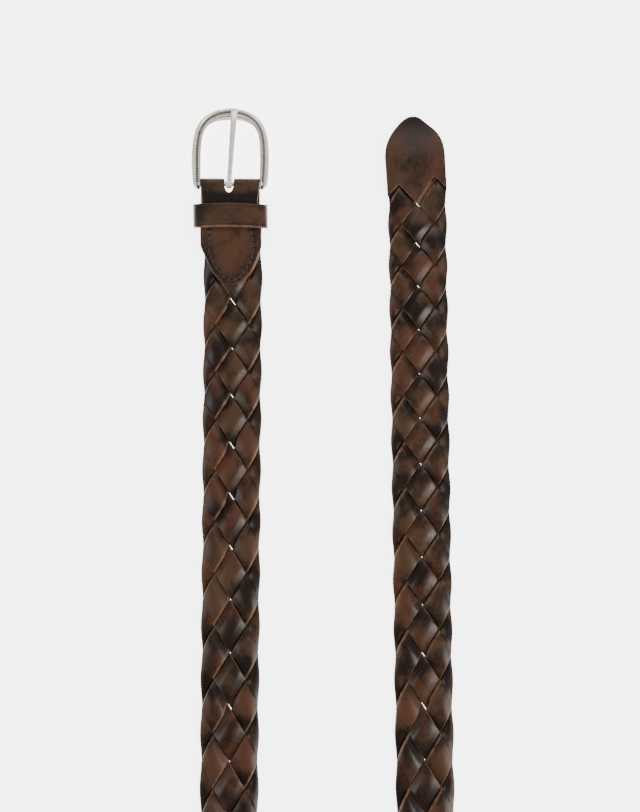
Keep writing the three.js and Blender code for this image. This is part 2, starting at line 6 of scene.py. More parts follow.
import bmesh
import bpy
import numpy as np
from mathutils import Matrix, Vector
from mathutils.geometry import delaunay_2d_cdt


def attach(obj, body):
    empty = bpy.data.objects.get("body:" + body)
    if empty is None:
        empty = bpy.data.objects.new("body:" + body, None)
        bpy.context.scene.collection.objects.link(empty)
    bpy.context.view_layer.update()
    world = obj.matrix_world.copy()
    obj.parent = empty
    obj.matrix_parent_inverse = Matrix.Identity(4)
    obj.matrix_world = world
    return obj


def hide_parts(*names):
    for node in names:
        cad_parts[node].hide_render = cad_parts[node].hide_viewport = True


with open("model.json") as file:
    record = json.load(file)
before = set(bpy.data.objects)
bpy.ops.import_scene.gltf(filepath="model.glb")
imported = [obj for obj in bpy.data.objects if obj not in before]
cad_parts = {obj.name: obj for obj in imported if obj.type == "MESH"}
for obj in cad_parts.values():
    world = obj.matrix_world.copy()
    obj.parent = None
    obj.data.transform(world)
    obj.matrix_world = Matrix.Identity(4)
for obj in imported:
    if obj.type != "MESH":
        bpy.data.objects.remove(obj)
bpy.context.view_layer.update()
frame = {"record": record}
MM = 0.001


def table(names, *rows):
    """A short table: its column names, then its rows. Gives one array for each column."""
    return {name: np.array(values, float) for name, values in zip(names.split(), zip(*rows))}


# Strap and how it lies, as in the solids, in metres
STRAP_WIDTH = 0.0355
LEG_SPACING = 0.1125
LEG_LEAN = math.radians(0.6)
FLAT_LENGTH = 0.385
TWIST_LENGTH = 0.1
BUCKLE_BOW = 0.0014
BOW_LENGTH = 0.062
CLEARANCE = 0.0003

# Braid: thickness and level of a strip, and how far its face rounds down to its edges
STRIP_THICKNESS = 0.0019
CAD_STRIP_THICKNESS = 0.0018
STRIP_CROWN = 0.00085
STRIP_HALF = 0.492
LEVEL_HEIGHT = 0.00138
PILLOW = 0.22
EDGE_CROWDING = 0.942
SCALLOP = 0.028
SKIVED_THICKNESS = 0.001
SKIVED_LEVEL = 0.001
FLAP_LEVEL = 0.00155
STRAP_THICKNESS = 0.0049
BUCKLE_END_TAPER = 0.017
BUCKLE_END_DROP = 0.022
TIP_END_TAPER = 0.016

# Rows of the braid, counted from the buckle: leg is 0 for the left and 1 for the right, down is a
# share of FLAT_LENGTH below the bar
CROSSING_TABLE = table(
    "leg down count",
    (0, 0.187, 0.5), (0, 0.416, 3.5), (0, 0.833, 8.5),
    (1, 0.833, 20.5), (1, 0.447, 25.5), (1, 0.164, 29.5), (1, 0.033, 31.5))

# How far the slits in the middle of the braid stand open, by count
SLIT_TABLE = {
    0.5: 1.0, 1.5: 0.2, 2.5: 0.45, 3.5: 0.9, 4.5: 1.0, 5.5: 0.6, 8.5: 0.7,
    20.5: 0.9, 21.5: 0.5, 25.5: 0.2, 29.5: 0.35, 30.5: 0.8, 31.5: 0.9,
}

# Buckle, tab, keeper and tip, as in the solids
BAR_RADIUS = 0.0015
FRAME_REACH = 0.047
FRAME_HALF_WIDTH = 0.024
FRAME_THICKNESS = 0.0034
GROOVE_DEPTH = 0.0008
PRONG_THICKNESS = 0.0024
PRONG_WIDTH = 0.0039
PRONG_EYE_WALL = 0.0011
PRONG_TIP_REACH = 0.0462
PRONG_TIP_OFFSET = 0.0023
PRONG_ROOT_OFFSET = -0.0006
TAB_THICKNESS = 0.0015
TAB_INSIDE = 0.0036
TAB_HALF_WIDTH = 0.018
TAB_BACK_LENGTH = 0.028
SHIELD_LENGTH = 0.062
SLOT_WIDTH = 0.0058
SLOT_LENGTH = 0.0054
KEEPER_START = 0.0122
KEEPER_DEPTH = 0.0146
KEEPER_HALF_WIDTH = 0.0228
KEEPER_HEIGHT = 0.0122
KEEPER_WALL = 0.0015
KEEPER_LINE = 0.385
BUCKLE_SHIFT = -0.0007
BAR_HEIGHT = KEEPER_WALL + CLEARANCE + TAB_THICKNESS + TAB_INSIDE / 2
TIP_REACH = 0.0413
TIP_POINT = 0.024
TIP_HALF_WIDTH = 0.0181
TIP_WALL = 0.0013
TIP_END_THICKNESS = 0.0034
TIP_POCKET = 0.0125
TIP_DRIFT = 0.0015
STRIP_OVERRUN = 0.004
TIP_CROWN = 0.0003
TIP_THICKNESS = 2 * SKIVED_LEVEL + SKIVED_THICKNESS + 2 * CLEARANCE + 2 * TIP_WALL + TIP_CROWN
TIP_MIDDLE = TIP_WALL + CLEARANCE + (2 * SKIVED_LEVEL + SKIVED_THICKNESS) / 2

# Half of the frame from its far end to the bar's end, along its groove, as shares of its sizes
FRAME_TABLE = table(
    "x up outside inside",
    (0.0, 0.95, 0.1, 0.215), (0.33, 0.92, 0.104, 0.19), (0.605, 0.838, 0.117, 0.142),
    (0.757, 0.724, 0.127, 0.11), (0.832, 0.575, 0.134, 0.1), (0.858, 0.362, 0.142, 0.1),
    (0.846, 0.128, 0.138, 0.088), (0.83, 0.0, 0.125, 0.062), (0.815, -0.052, 0.08, 0.045),
    (0.808, -0.074, 0.03, 0.02))

# The prong's shank: up is a share of its reach, lift of the height at which it lies on the frame
PRONG_TABLE = table(
    "up lift width thickness",
    (0.05, 0.3, 0.8, 0.7), (0.09, 0.48, 0.8, 0.9), (0.3, 0.83, 0.84, 1.0), (0.55, 0.96, 0.92, 1.0),
    (0.8, 1.0, 1.0, 1.0), (0.93, 1.0, 1.0, 0.85), (0.985, 1.0, 0.8, 0.6), (1.0, 1.0, 0.5, 0.4))

# Width of the tab's front flap: at is a share of its length, half of its half width
SHIELD_TABLE = table(
    "at half",
    (0.0, 1.015), (0.17, 0.945), (0.3, 0.99), (0.42, 1.03), (0.6, 1.04), (0.65, 1.0), (0.71, 0.91),
    (0.78, 0.81), (0.87, 0.655), (0.935, 0.475), (0.975, 0.29), (0.992, 0.17), (1.0, 0.06))

# The slot's half width over the front flap, as a share of its width at the fold
SLOT_TABLE = table(
    "at half",
    (0.0, 1.0), (0.3, 0.92), (0.6, 0.76), (0.8, 0.6), (0.93, 0.38), (0.99, 0.14))

# Line of the stitches on the flap, in the flap's shares
STITCH_TABLE = table(
    "at half",
    (0.4, 0.72), (0.66, 0.755), (0.73, 0.685), (0.785, 0.605), (0.85, 0.47), (0.9, 0.34), (0.94, 0.19),
    (0.963, 0.0))
STITCH_PITCH = 0.00375

# Half outline of the keeper, seen along the strap, as shares of its half width and height
KEEPER_TABLE = table(
    "x z",
    (0.0, 0.0), (0.4, 0.0), (0.79, 0.0), (0.93, 0.07), (0.99, 0.24), (1.0, 0.45), (0.95, 0.68),
    (0.8, 0.85), (0.5, 0.96), (0.0, 1.0))
KEEPER_BOW = 0.0009

# The keeper's band, with rounded edges and a pressed line near each: deep is a share of its depth
# from its middle, out of its wall from the wall's middle
KEEPER_SECTION = table(
    "deep out",
    (-0.5, -0.2), (-0.5, 0.2), (-0.485, 0.38), (-0.455, 0.48), (-0.41, 0.5), (-KEEPER_LINE, 0.45),
    (-0.36, 0.5), (-0.2, 0.54), (0.0, 0.55), (0.2, 0.54), (0.36, 0.5), (KEEPER_LINE, 0.45),
    (0.41, 0.5), (0.455, 0.48), (0.485, 0.38), (0.5, 0.2), (0.5, -0.2), (0.48, -0.42), (0.43, -0.5),
    (0.0, -0.5), (-0.43, -0.5), (-0.48, -0.42))

# Outline of the tip's point: at is a share of TIP_POINT from its end, inner and outer are its
# edges towards the other leg and away from it, as shares of TIP_HALF_WIDTH
TIP_TABLE = table(
    "at inner outer",
    (0.0, 0.1, 0.05), (0.015, 0.18, 0.13), (0.05, 0.27, 0.22), (0.125, 0.41, 0.34), (0.235, 0.56, 0.51),
    (0.36, 0.7, 0.7), (0.54, 0.86, 0.87), (0.76, 0.98, 0.97), (1.0, 1.03, 1.0))

# Lower edge of the tip, over the braid: x as a share of TIP_HALF_WIDTH, below the bar's level
TIP_EDGE_TABLE = table(
    "x below",
    (-1.0, 0.0036), (-0.58, -0.0044), (0.03, 0.0122), (0.64, 0.0004), (1.0, 0.008))
TIP_EDGE_DEPTH = TIP_EDGE_TABLE["below"].max() + CLEARANCE


def smooth(t):
    u = np.clip(t, 0, 1)
    return u * u * (3 - 2 * u)


# Plan of the loop: a straight leg, then a bend that tightens while the strap turns on edge
BEND_STEPS = 600
BISECTIONS = 40


def bend_plan(tightest):
    """Half of the loop, for the curvature that it reaches."""
    length = TWIST_LENGTH / 2 + (pi / 2 + LEG_LEAN) / tightest

    def summed(values):
        return np.concatenate([[0], np.cumsum(values) * length / BEND_STEPS])

    middles = (np.arange(BEND_STEPS) + 0.5) * length / BEND_STEPS
    turn = summed(tightest * smooth(middles / TWIST_LENGTH))
    heading = (turn[:-1] + turn[1:]) / 2 - LEG_LEAN
    across, down = summed(np.sin(heading)), summed(np.cos(heading))
    return {"length": length, "turn": turn, "across": across, "down": down}


def find_bend():
    """The bend whose middle lies half way between the legs."""
    half_width = LEG_SPACING / 2 + FLAT_LENGTH * math.sin(LEG_LEAN)
    loose, tight = 0.25 / half_width, 4 / half_width
    for _ in range(BISECTIONS):
        middle = (loose + tight) / 2
        if bend_plan(middle)["across"][-1] > half_width:
            loose = middle
        else:
            tight = middle
    return bend_plan((loose + tight) / 2)


BEND = find_bend()
LOOP_MIDDLE = FLAT_LENGTH + BEND["length"]
RIGHT_BAR_LEVEL = 2 * LOOP_MIDDLE
BAR = np.array(frame["record"]["behaviour"]["joints"][0]["pos_m"])
LOOP_SHIFT = BAR + np.array([
    LEG_SPACING / 2 + BUCKLE_BOW * math.cos(LEG_LEAN), -BUCKLE_BOW * math.sin(LEG_LEAN), -BAR[2]
])


def fullness(distance):
    """Share of the strips' full thickness: 0 inside the tabs, 1 in the open."""
    at_buckle = smooth((distance - TAB_BACK_LENGTH) / BUCKLE_END_TAPER)
    at_tip = smooth((RIGHT_BAR_LEVEL - TIP_EDGE_DEPTH - distance) / TIP_END_TAPER)
    return np.minimum(at_buckle, at_tip)


def flat_middle(distance):
    """Height of the strap's middle above the ground where it lies flat."""
    middle = STRAP_THICKNESS / 2
    dropped = smooth((distance - TAB_BACK_LENGTH) / BUCKLE_END_DROP)
    at_buckle = BAR_HEIGHT + (middle - BAR_HEIGHT) * dropped
    at_tip = TIP_MIDDLE + (middle - TIP_MIDDLE) * fullness(distance)
    return np.where(distance < LOOP_MIDDLE, at_buckle, at_tip)


def strap_point(distance, across, height):
    """Points of the strap: across is towards the other leg, height is out of its front from its
    middle."""
    distance, across, height = np.broadcast_arrays(
        *[np.asarray(values, float) for values in (distance, across, height)])
    right = distance > LOOP_MIDDLE
    half = np.where(right, 2 * LOOP_MIDDLE - distance, distance)
    side = np.where(right, -1.0, 1.0)
    past = np.clip(half - FLAT_LENGTH, 0, BEND["length"])
    straight = np.minimum(half, FLAT_LENGTH)
    places = np.linspace(0, BEND["length"], len(BEND["turn"]))
    heading = np.interp(past, places, BEND["turn"]) - LEG_LEAN
    x = -LEG_SPACING / 2 - straight * math.sin(LEG_LEAN) + np.interp(past, places, BEND["across"])
    y = -straight * math.cos(LEG_LEAN) - np.interp(past, places, BEND["down"])
    roll = pi / 2 * smooth(past / TWIST_LENGTH)
    middle = STRAP_WIDTH / 2 * np.sin(roll) + flat_middle(distance) * np.cos(roll)
    centre = np.stack([side * x, y, middle], axis=-1)
    inward = np.stack([side * np.cos(heading), np.sin(heading), np.zeros_like(x)], axis=-1)
    up = np.array([0.0, 0.0, 1.0])
    cos_roll, sin_roll = np.cos(roll)[..., None], np.sin(roll)[..., None]
    across_direction = inward * cos_roll + up * sin_roll
    out_direction = up * cos_roll - inward * sin_roll
    aside = across - BUCKLE_BOW * smooth(1 - distance / BOW_LENGTH)
    return centre + across_direction * aside[..., None] + out_direction * height[..., None] + LOOP_SHIFT


def leg_point(distance, across, height):
    """Points beside a flat leg, at a height above the ground."""
    return strap_point(distance, across, height - flat_middle(np.asarray(distance, float)))


def run_along(x, y):
    """Distance along a line of points, at each of them."""
    return np.concatenate([[0], np.cumsum(np.hypot(np.diff(x), np.diff(y)))])


def columns(*values):
    return np.stack(values, axis=1)


def unit(vectors):
    return vectors / np.linalg.norm(vectors, axis=1)[:, None]


def curve_through(values, t):
    """Smooth curve through evenly weighted values, for t from 0 to 1."""
    count = len(values)
    padded = np.concatenate([[2 * values[0] - values[1]], values, [2 * values[-1] - values[-2]]])
    place = np.clip(t, 0, 1) * (count - 1)
    i = np.minimum(place.astype(int), count - 2)
    f = place - i
    a, b, c, d = padded[i], padded[i + 1], padded[i + 2], padded[i + 3]
    return b + 0.5 * f * (c - a + f * (2 * a - 5 * b + 4 * c - d + f * (3 * (b - c) + d - a)))


# Counts of the braid's crossings against distance along the strap
COUNTS = CROSSING_TABLE["count"]
COUNT_PLACES = np.where(
    CROSSING_TABLE["leg"] == 0,
    CROSSING_TABLE["down"] * FLAT_LENGTH,
    RIGHT_BAR_LEVEL - CROSSING_TABLE["down"] * FLAT_LENGTH)
AFTER = np.minimum(np.arange(len(COUNTS)) + 1, len(COUNTS) - 1)
BEFORE = np.maximum(np.arange(len(COUNTS)) - 1, 0)
COUNT_SLOPES = (COUNT_PLACES[AFTER] - COUNT_PLACES[BEFORE]) / (COUNTS[AFTER] - COUNTS[BEFORE])


def count_to_distance(count):
    """Smooth curve through the rows of CROSSING_TABLE, straight beyond its ends."""
    i = np.clip(np.searchsorted(COUNTS, count, side="right") - 1, 0, len(COUNTS) - 2)
    gap = COUNTS[i + 1] - COUNTS[i]
    t = (count - COUNTS[i]) / gap
    between = (
        COUNT_PLACES[i] * (1 + 2 * t) * (1 - t) ** 2
        + COUNT_SLOPES[i] * gap * t * (1 - t) ** 2
        + COUNT_PLACES[i + 1] * t * t * (3 - 2 * t)
        + COUNT_SLOPES[i + 1] * gap * t * t * (t - 1)
    )
    before = COUNT_PLACES[0] + COUNT_SLOPES[0] * (count - COUNTS[0])
    beyond = COUNT_PLACES[-1] + COUNT_SLOPES[-1] * (count - COUNTS[-1])
    return np.where(count < COUNTS[0], before, np.where(count > COUNTS[-1], beyond, between))


# Mesh making
def mesh_object(name, points, faces, material, uv=None, tones=None, smooth_shading=True):
    """New object; uv and tones hold one value for each point."""
    mesh = bpy.data.meshes.new(name)
    mesh.from_pydata(np.asarray(points).reshape(-1, 3).tolist(), [], faces)
    mesh.materials.append(material)
    mesh.polygons.foreach_set("use_smooth", [smooth_shading] * len(mesh.polygons))
    work = bmesh.new()
    work.from_mesh(mesh)
    bmesh.ops.recalc_face_normals(work, faces=work.faces)
    work.to_mesh(mesh)
    work.free()
    if uv is not None:
        corners = np.empty(len(mesh.loops), int)
        mesh.loops.foreach_get("vertex_index", corners)
        layer = mesh.uv_layers.new(name="lie")
        layer.data.foreach_set("uv", np.asarray(uv).reshape(-1, 2)[corners].astype(np.float32).ravel())
    for key, values in (tones or {}).items():
        attribute = mesh.attributes.new(key, "FLOAT", "POINT")
        attribute.data.foreach_set("value", np.asarray(values).reshape(-1).astype(np.float32))
    obj = bpy.data.objects.new(name, mesh)
    bpy.context.collection.objects.link(obj)
    return obj


def loft_faces(count, size, looped=False, first=0):
    """Faces of a closed body on rings of points, numbered from first."""
    spans = count if looped else count - 1
    faces = []
    for i in range(spans):
        a, b = first + i * size, first + ((i + 1) % count) * size
        faces += [(a + j, a + (j + 1) % size, b + (j + 1) % size, b + j) for j in range(size)]
    if not looped:
        faces.append(tuple(first + j for j in range(size - 1, -1, -1)))
        faces.append(tuple(first + (count - 1) * size + j for j in range(size)))
    return faces


def lofts(name, bodies, material, tones=None):
    """Several closed bodies in one object; each is its rings of points."""
    points, faces = [], []
    for rings in bodies:
        faces += loft_faces(*rings.shape[:2], first=sum(len(p) for p in points))
        points.append(rings.reshape(-1, 3))
    return mesh_object(name, np.concatenate(points), faces, material, tones=tones)


# A cut sheet: its outlines lie in a plane of (run, across), and place() bends that into space
# The profile of its rounded edge: inset is a share of the rounding, level of half the thickness
EDGE_PROFILE = [
    (1.0, 1.0), (0.5, 0.93), (0.15, 0.7), (0.0, 0.3),
    (0.0, -0.3), (0.15, -0.7), (0.5, -0.93), (1.0, -1.0)]
INSET_SHARES = [1.0, 0.8, 0.6, 0.45, 0.3, 0.15]


def resample(outline, step):
    """The same closed outline with a point at least every step."""
    points = []
    for i, start in enumerate(outline):
        end = np.array(outline[(i + 1) % len(outline)])
        start = np.array(start)
        parts = max(int(math.ceil(np.linalg.norm(end - start) / step)), 1)
        points += [start + (end - start) * k / parts for k in range(parts)]
    return np.array(points)


def turned_in(points):
    """Directions into the sheet at the points of an outline that has the sheet on its left."""
    ahead = unit(np.roll(points, -1, axis=0) - points)
    normal = columns(-ahead[:, 1], ahead[:, 0])
    both = unit(normal + np.roll(normal, 1, axis=0))
    return both / np.maximum((both * normal).sum(axis=1), 0.6)[:, None]


def inset_shares(edge, inward, radius):
    """How much of the inset an outline can take at each point without crossing itself."""
    ahead = np.roll(edge, -1, axis=0) - edge
    level = np.zeros(len(edge), int)
    for k, share in enumerate(INSET_SHARES[:-1]):
        tested = edge + inward * share * radius
        off = tested[:, None, :] - edge[None]
        part = np.clip((off * ahead).sum(axis=2) / (ahead ** 2).sum(axis=1), 0, 1)
        gap = np.linalg.norm(off - part[..., None] * ahead[None], axis=2).min(axis=1)
        level = np.where((level == k) & (gap < 0.98 * share * radius), k + 1, level)
    level = np.max([np.roll(level, k) for k in range(-2, 3)], axis=0)
    return np.array(INSET_SHARES)[level]


def inside(points, outline):
    """Which points lie inside a closed outline."""
    x, y = points[:, 0, None], points[:, 1, None]
    x0, y0 = outline[:, 0], outline[:, 1]
    x1, y1 = np.roll(x0, -1), np.roll(y0, -1)
    crossing = (y0 > y) != (y1 > y)
    at = x0 + (y - y0) * (x1 - x0) / np.where(y1 == y0, 1, y1 - y0)
    return (crossing & (x < at)).sum(axis=1) % 2 == 1


def on_sheet(points, rings):
    """Which points lie inside the first ring and outside the others."""
    keep = inside(points, rings[0][2])
    for _, _, hole in rings[1:]:
        keep &= ~inside(points, hole)
    return keep


def sheet_body(loops, place, thickness, radius, step, relief=None):
    """Points, faces, plane coordinates and rims of a sheet, its edges rounded by radius. The first
    loop is its outline, the others are holes."""
    flat, heights, rims, faces, inner = [], [], [], [], []
    half = thickness / 2
    for loop in loops:
        edge = resample(loop, step)
        inward = turned_in(edge)
        inward *= inset_shares(edge, inward, radius)[:, None]
        first = sum(len(part) for part in flat)
        for k, (inset, level) in enumerate(EDGE_PROFILE):
            flat.append(edge + inward * inset * radius)
            heights.append(np.full(len(edge), level * half))
            rims.append(np.full(len(edge), 1.0 if abs(level) < 0.9 else 0.5 if abs(level) < 1 else 0.0))
            if k:
                a, b = first + (k - 1) * len(edge), first + k * len(edge)
                following = [(j + 1) % len(edge) for j in range(len(edge))]
                faces += [(a + j, b + j, b + n, a + n) for j, n in enumerate(following)]
        inner.append((first, first + (len(EDGE_PROFILE) - 1) * len(edge), flat[-1]))
    rings = np.concatenate([ring for _, _, ring in inner])
    low, high = rings.min(axis=0), rings.max(axis=0)
    rows = [np.arange(low[k] + step / 2, high[k], step) for k in (0, 1)]
    grid = np.stack(np.meshgrid(*rows), axis=-1).reshape(-1, 2)
    grid = grid[on_sheet(grid, inner)]
    near = np.array([np.min(((rings - p) ** 2).sum(axis=1)) for p in grid])
    grid = grid[near > (0.55 * step) ** 2]
    edges, first = [], 0
    for _, _, ring in inner:
        edges += [(first + j, first + (j + 1) % len(ring)) for j in range(len(ring))]
        first += len(ring)
    cloud = np.concatenate([rings, grid])
    result = delaunay_2d_cdt([Vector(p / MM) for p in cloud], edges, [], 0, 1e-7)
    # Where two edges cross there is a new point: the nearest of the given ones stands for it
    original = [
        ids[0] if ids else int(((cloud - np.array(v) * MM) ** 2).sum(axis=1).argmin())
        for v, ids in zip(result[0], result[3])]
    triangles = np.array([[original[v] for v in face] for face in result[2]])
    triangles = triangles[[len(set(face)) == 3 for face in triangles.tolist()]]
    triangles = triangles[on_sheet(cloud[triangles].mean(axis=1), inner)]
    start = sum(len(part) for part in flat)
    flat += [grid, grid]
    heights += [np.full(len(grid), half), np.full(len(grid), -half)]
    rims += [np.zeros(2 * len(grid))]
    grid_rows = np.arange(len(grid))
    top = np.concatenate(
        [first + np.arange(len(ring)) for first, _, ring in inner] + [start + grid_rows])
    bottom = np.concatenate(
        [last + np.arange(len(ring)) for _, last, ring in inner] + [start + len(grid) + grid_rows])
    faces += [tuple(int(top[v]) for v in face) for face in triangles]
    faces += [tuple(int(bottom[v]) for v in face[::-1]) for face in triangles]
    flat, heights = np.concatenate(flat), np.concatenate(heights)
    if relief is not None:
        heights = heights + np.where(heights > -0.5 * half, relief(flat), 0)
    return place(flat[:, 0], flat[:, 1], heights), faces, flat, np.concatenate(rims)


def dress(obj, body, slot_name, *nodes):
    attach(obj, body)
    if nodes:
        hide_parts(*nodes)
    return obj


# Materials
class Nodes:
    """Short ways to add and join the nodes of one material."""

    def __init__(self, name):
        self.material = bpy.data.materials.new(name)
        self.material.use_nodes = True
        self.tree = self.material.node_tree
        self.tree.nodes.clear()
        out = self.tree.nodes.new("ShaderNodeOutputMaterial")
        self.shader = self.tree.nodes.new("ShaderNodeBsdfPrincipled")
        self.tree.links.new(self.shader.outputs[0], out.inputs[0])

    def fill(self, node, inputs):
        for key, value in inputs.items():
            if isinstance(value, bpy.types.NodeSocket):
                self.tree.links.new(value, node.inputs[key])
            else:
                node.inputs[key].default_value = value

    def add(self, kind, inputs, output=0, **settings):
        """New node: its settings, its inputs as values or links, and the output that it gives."""
        node = self.tree.nodes.new("ShaderNode" + kind)
        for name, value in settings.items():
            setattr(node, name, value)
        self.fill(node, inputs)
        return node.outputs[output]

    def finished(self, inputs):
        """The material, with these inputs of its shader."""
        self.fill(self.shader, inputs)
        return self.material

    def math(self, operation, a, b=0.0, clamp=False):
        return self.add("Math", {0: a, 1: b}, operation=operation, use_clamp=clamp)

    def tone(self, name):
        return self.add("Attribute", {}, "Fac", attribute_name=name)

    def place(self, kind, scale):
        return self.add("Mapping", {"Vector": self.add("TexCoord", {}, kind), "Scale": scale})

    def noise(self, vector, scale, detail, roughness=0.5, distortion=0.0):
        return self.add("TexNoise", {
            "Vector": vector, "Scale": scale, "Detail": detail, "Roughness": roughness,
            "Distortion": distortion}, "Fac")

    def range(self, value, low, high, to_low=0.0, to_high=1.0):
        return self.add("MapRange", {
            "Value": value, "From Min": low, "From Max": high, "To Min": to_low, "To Max": to_high,
        }, interpolation_type="SMOOTHSTEP")

    def mix(self, share, a, b):
        return self.add("Mix", {0: share, 6: a, 7: b}, 2, data_type="RGBA")

    def bump(self, height, strength, distance, below=None):
        inputs = {"Strength": strength, "Distance": distance, "Height": height}
        if below is not None:
            inputs["Normal"] = below
        return self.add("Bump", inputs)


def colour(red, green, blue):
    """Linear colour from the 0 to 255 values seen on a screen."""
    shares = [value / 255 for value in (red, green, blue)]
    return (*[((c + 0.055) / 1.055) ** 2.4 if c > 0.04 else c / 12.92 for c in shares], 1.0)


def leather_material(name, red, olive, dark, rim, gloss, patchy):
    """Waxed leather. Tone "tone_and_painted_light" is 1 where it is light, from real wear and from painted
    light and shade, "hue" goes from red to olive brown, "rim" is 1 on its cut edges and
    "painted_hole_shade" where it is painted nearly black as shade in stitch holes. gloss is its
    roughness where it is dark and where it is light, patchy how much its patches differ."""
    n = Nodes(name)
    lie = n.place("UV", (1.0, 1.0, 1.0))
    along = n.place("UV", (0.22, 1.0, 1.0))
    space = n.place("Object", (1, 1, 1))
    patches = n.noise(space, 62.0, 1.0, 0.4)
    clouds = n.noise(space, 260.0, 3.0, 0.55)
    streaks = n.noise(along, 800.0, 4.0, 0.6, 0.5)
    # Lightness: real wear and random patches, together with the painted shade and painted highlights set in
    # each object's tones.
    tone_and_painted_light = n.math("ADD", n.tone("tone_and_painted_light"), n.range(patches, 0.32, 0.68, -patchy, patchy))
    tone_and_painted_light = n.math("ADD", tone_and_painted_light, n.range(clouds, 0.3, 0.7, -0.1, 0.1))
    tone_and_painted_light = n.math("ADD", tone_and_painted_light, n.range(streaks, 0.3, 0.7, -0.12, 0.12))
    hue = n.math("ADD", n.tone("hue"), n.range(n.noise(lie, 70.0, 2.0), 0.35, 0.65, -0.35, 0.35), True)
    body = n.mix(n.range(tone_and_painted_light, 0.0, 0.95), dark, n.mix(hue, red, olive))
    edge = n.math("MULTIPLY", n.tone("rim"), n.range(clouds, 0.3, 0.62, 0.25, 1.0), True)
    body = n.mix(edge, body, rim)
    # Painted shade: nearly black where the stitch holes are, standing in for the shade inside them.
    body = n.mix(n.tone("painted_hole_shade"), body, colour(9, 7, 7))
    rough = n.range(n.math("ADD", tone_and_painted_light, n.range(streaks, 0.2, 0.8, -0.3, 0.3)), 0.0, 1.0, *gloss)
    rough = n.math("ADD", rough, n.math("MULTIPLY", n.tone("rim"), 0.2), True)
    grain = n.add("TexVoronoi", {"Vector": lie, "Scale": 1500.0}, "Distance", feature="DISTANCE_TO_EDGE")
    pores = n.noise(lie, 2600.0, 2.0, 0.6)
    creases = n.noise(along, 380.0, 4.0, 0.6, 0.8)
    fine = n.bump(n.range(grain, 0.0, 0.35), 0.12, 0.00006)
    fine = n.bump(pores, 0.16, 0.00005, fine)
    fine = n.bump(creases, 0.3, 0.00025, fine)
    return n.finished({
        "Base Color": body, "Roughness": rough, "Normal": fine, "Specular IOR Level": 0.28,
        "Specular Tint": (1.0, 0.85, 0.76, 1.0), "Coat Weight": 0.05, "Coat Roughness": 0.22})


def silver_material(name, light, dark, shine):
    """Polished silver, darkened where tone "groove" is 1."""
    n = Nodes(name)
    tarnish = n.noise(n.place("Object", (1, 1, 1)), 420.0, 4.0, 0.6)
    groove = n.math("ADD", n.tone("groove"), n.range(tarnish, 0.5, 0.8, 0.0, 0.14), True)
    worn = n.math("ADD", groove, n.range(tarnish, 0.3, 0.7, 0.0, 0.2))
    scratches = n.noise(n.place("Object", (1, 0.12, 1)), 2600.0, 3.0, 0.7)
    return n.finished({
        "Base Color": n.mix(n.range(groove, 0.05, 0.8), light, dark), "Metallic": 0.52,
        "Roughness": n.range(worn, 0.0, 1.0, *shine), "Normal": n.bump(scratches, 0.05, 0.00004)})


def thread_material():
    """Black waxed thread with fine fibres."""
    n = Nodes("dark_thread")
    fibres = n.noise(n.place("Object", (1, 1, 1)), 4200.0, 3.0, 0.7)
    body = n.mix(n.range(fibres, 0.3, 0.7), colour(30, 21, 18), colour(66, 50, 41))
    return n.finished({"Base Color": body, "Roughness": 0.45, "Normal": n.bump(fibres, 0.5, 0.00008)})


BRAID_LEATHER = leather_material(
    "braid_leather", colour(70, 40, 25), colour(61, 42, 25), colour(21, 14, 11), colour(96, 68, 46),
    gloss=(0.3, 0.48), patchy=0.34)
SMOOTH_LEATHER = leather_material(
    "smooth_leather", colour(70, 41, 26), colour(62, 43, 27), colour(19, 13, 11), colour(114, 86, 64),
    gloss=(0.36, 0.52), patchy=0.26)
SILVER = silver_material("silver", colour(246, 238, 226), colour(18, 15, 13), (0.24, 0.5))
THREAD = thread_material()

# Braid: a strip runs through cells of a skewed chart. Rising strips keep their column and move
# inwards, falling ones keep their row and move outwards, and they turn at the strap's edges.
CELLS_ACROSS = 4
FIRST_COLUMN = -8
STATION_STEP = 0.07
TURN_CHAMFER = 0.04
TURN_RAMP = 0.64
CROSS_RAMP = 0.3
FREE_SWELL = 0.0007
SLIT_FALLING = 0.13
SLIT_RISING = 0.03
SLIT_SPREAD = 0.42
CLOSED_SLIT = 0.1

# Where the strips swell, between the flap and the tip
SWELL_START = SHIELD_LENGTH + 0.004
SWELL_END = RIGHT_BAR_LEVEL - 0.018
SWELL_RUN = 0.012

# A strip's leather, laid flat: length of a cell, half width and distance between the four strips
CELL_LENGTH = 0.0186
FLAT_HALF_WIDTH = 0.0072
FLAT_SPACING = 0.03
FLOOR_CLEARANCE = 0.00005
TONE_CELLS = 200


def chart_edge(column, along, side, half):
    """Columns and rows of the chart along one edge of a strip."""
    turn = np.round(along / CELLS_ACROSS)
    right_turn = np.abs(turn % 2) == 1
    past = along - turn * CELLS_ACROSS
    reach = half + TURN_CHAMFER
    share = np.clip((past + reach) / (2 * reach), 0, 1)
    outer = right_turn == (side > 0)
    before = np.where(
        outer, np.minimum(past, half), np.where(past < -reach, past, -half - TURN_CHAMFER * (1 - share)))
    after = np.where(
        outer, np.maximum(past, -half), np.where(past > reach, past, half + TURN_CHAMFER * share))
    turn_column = column + 2 * turn - np.where(right_turn, 2, 0)
    turn_row = column + 2 * turn + np.where(right_turn, 2, 0)
    return (
        turn_column + np.where(right_turn, after, before),
        turn_row + np.where(right_turn, before, after),
    )


def past_turn(along):
    """Cells past the nearest turn, and 1 where that turn is at the right edge, -1 at the left."""
    turn = np.round(along / CELLS_ACROSS)
    return along - turn * CELLS_ACROSS, np.where(np.abs(turn % 2) == 1, 1.0, -1.0)


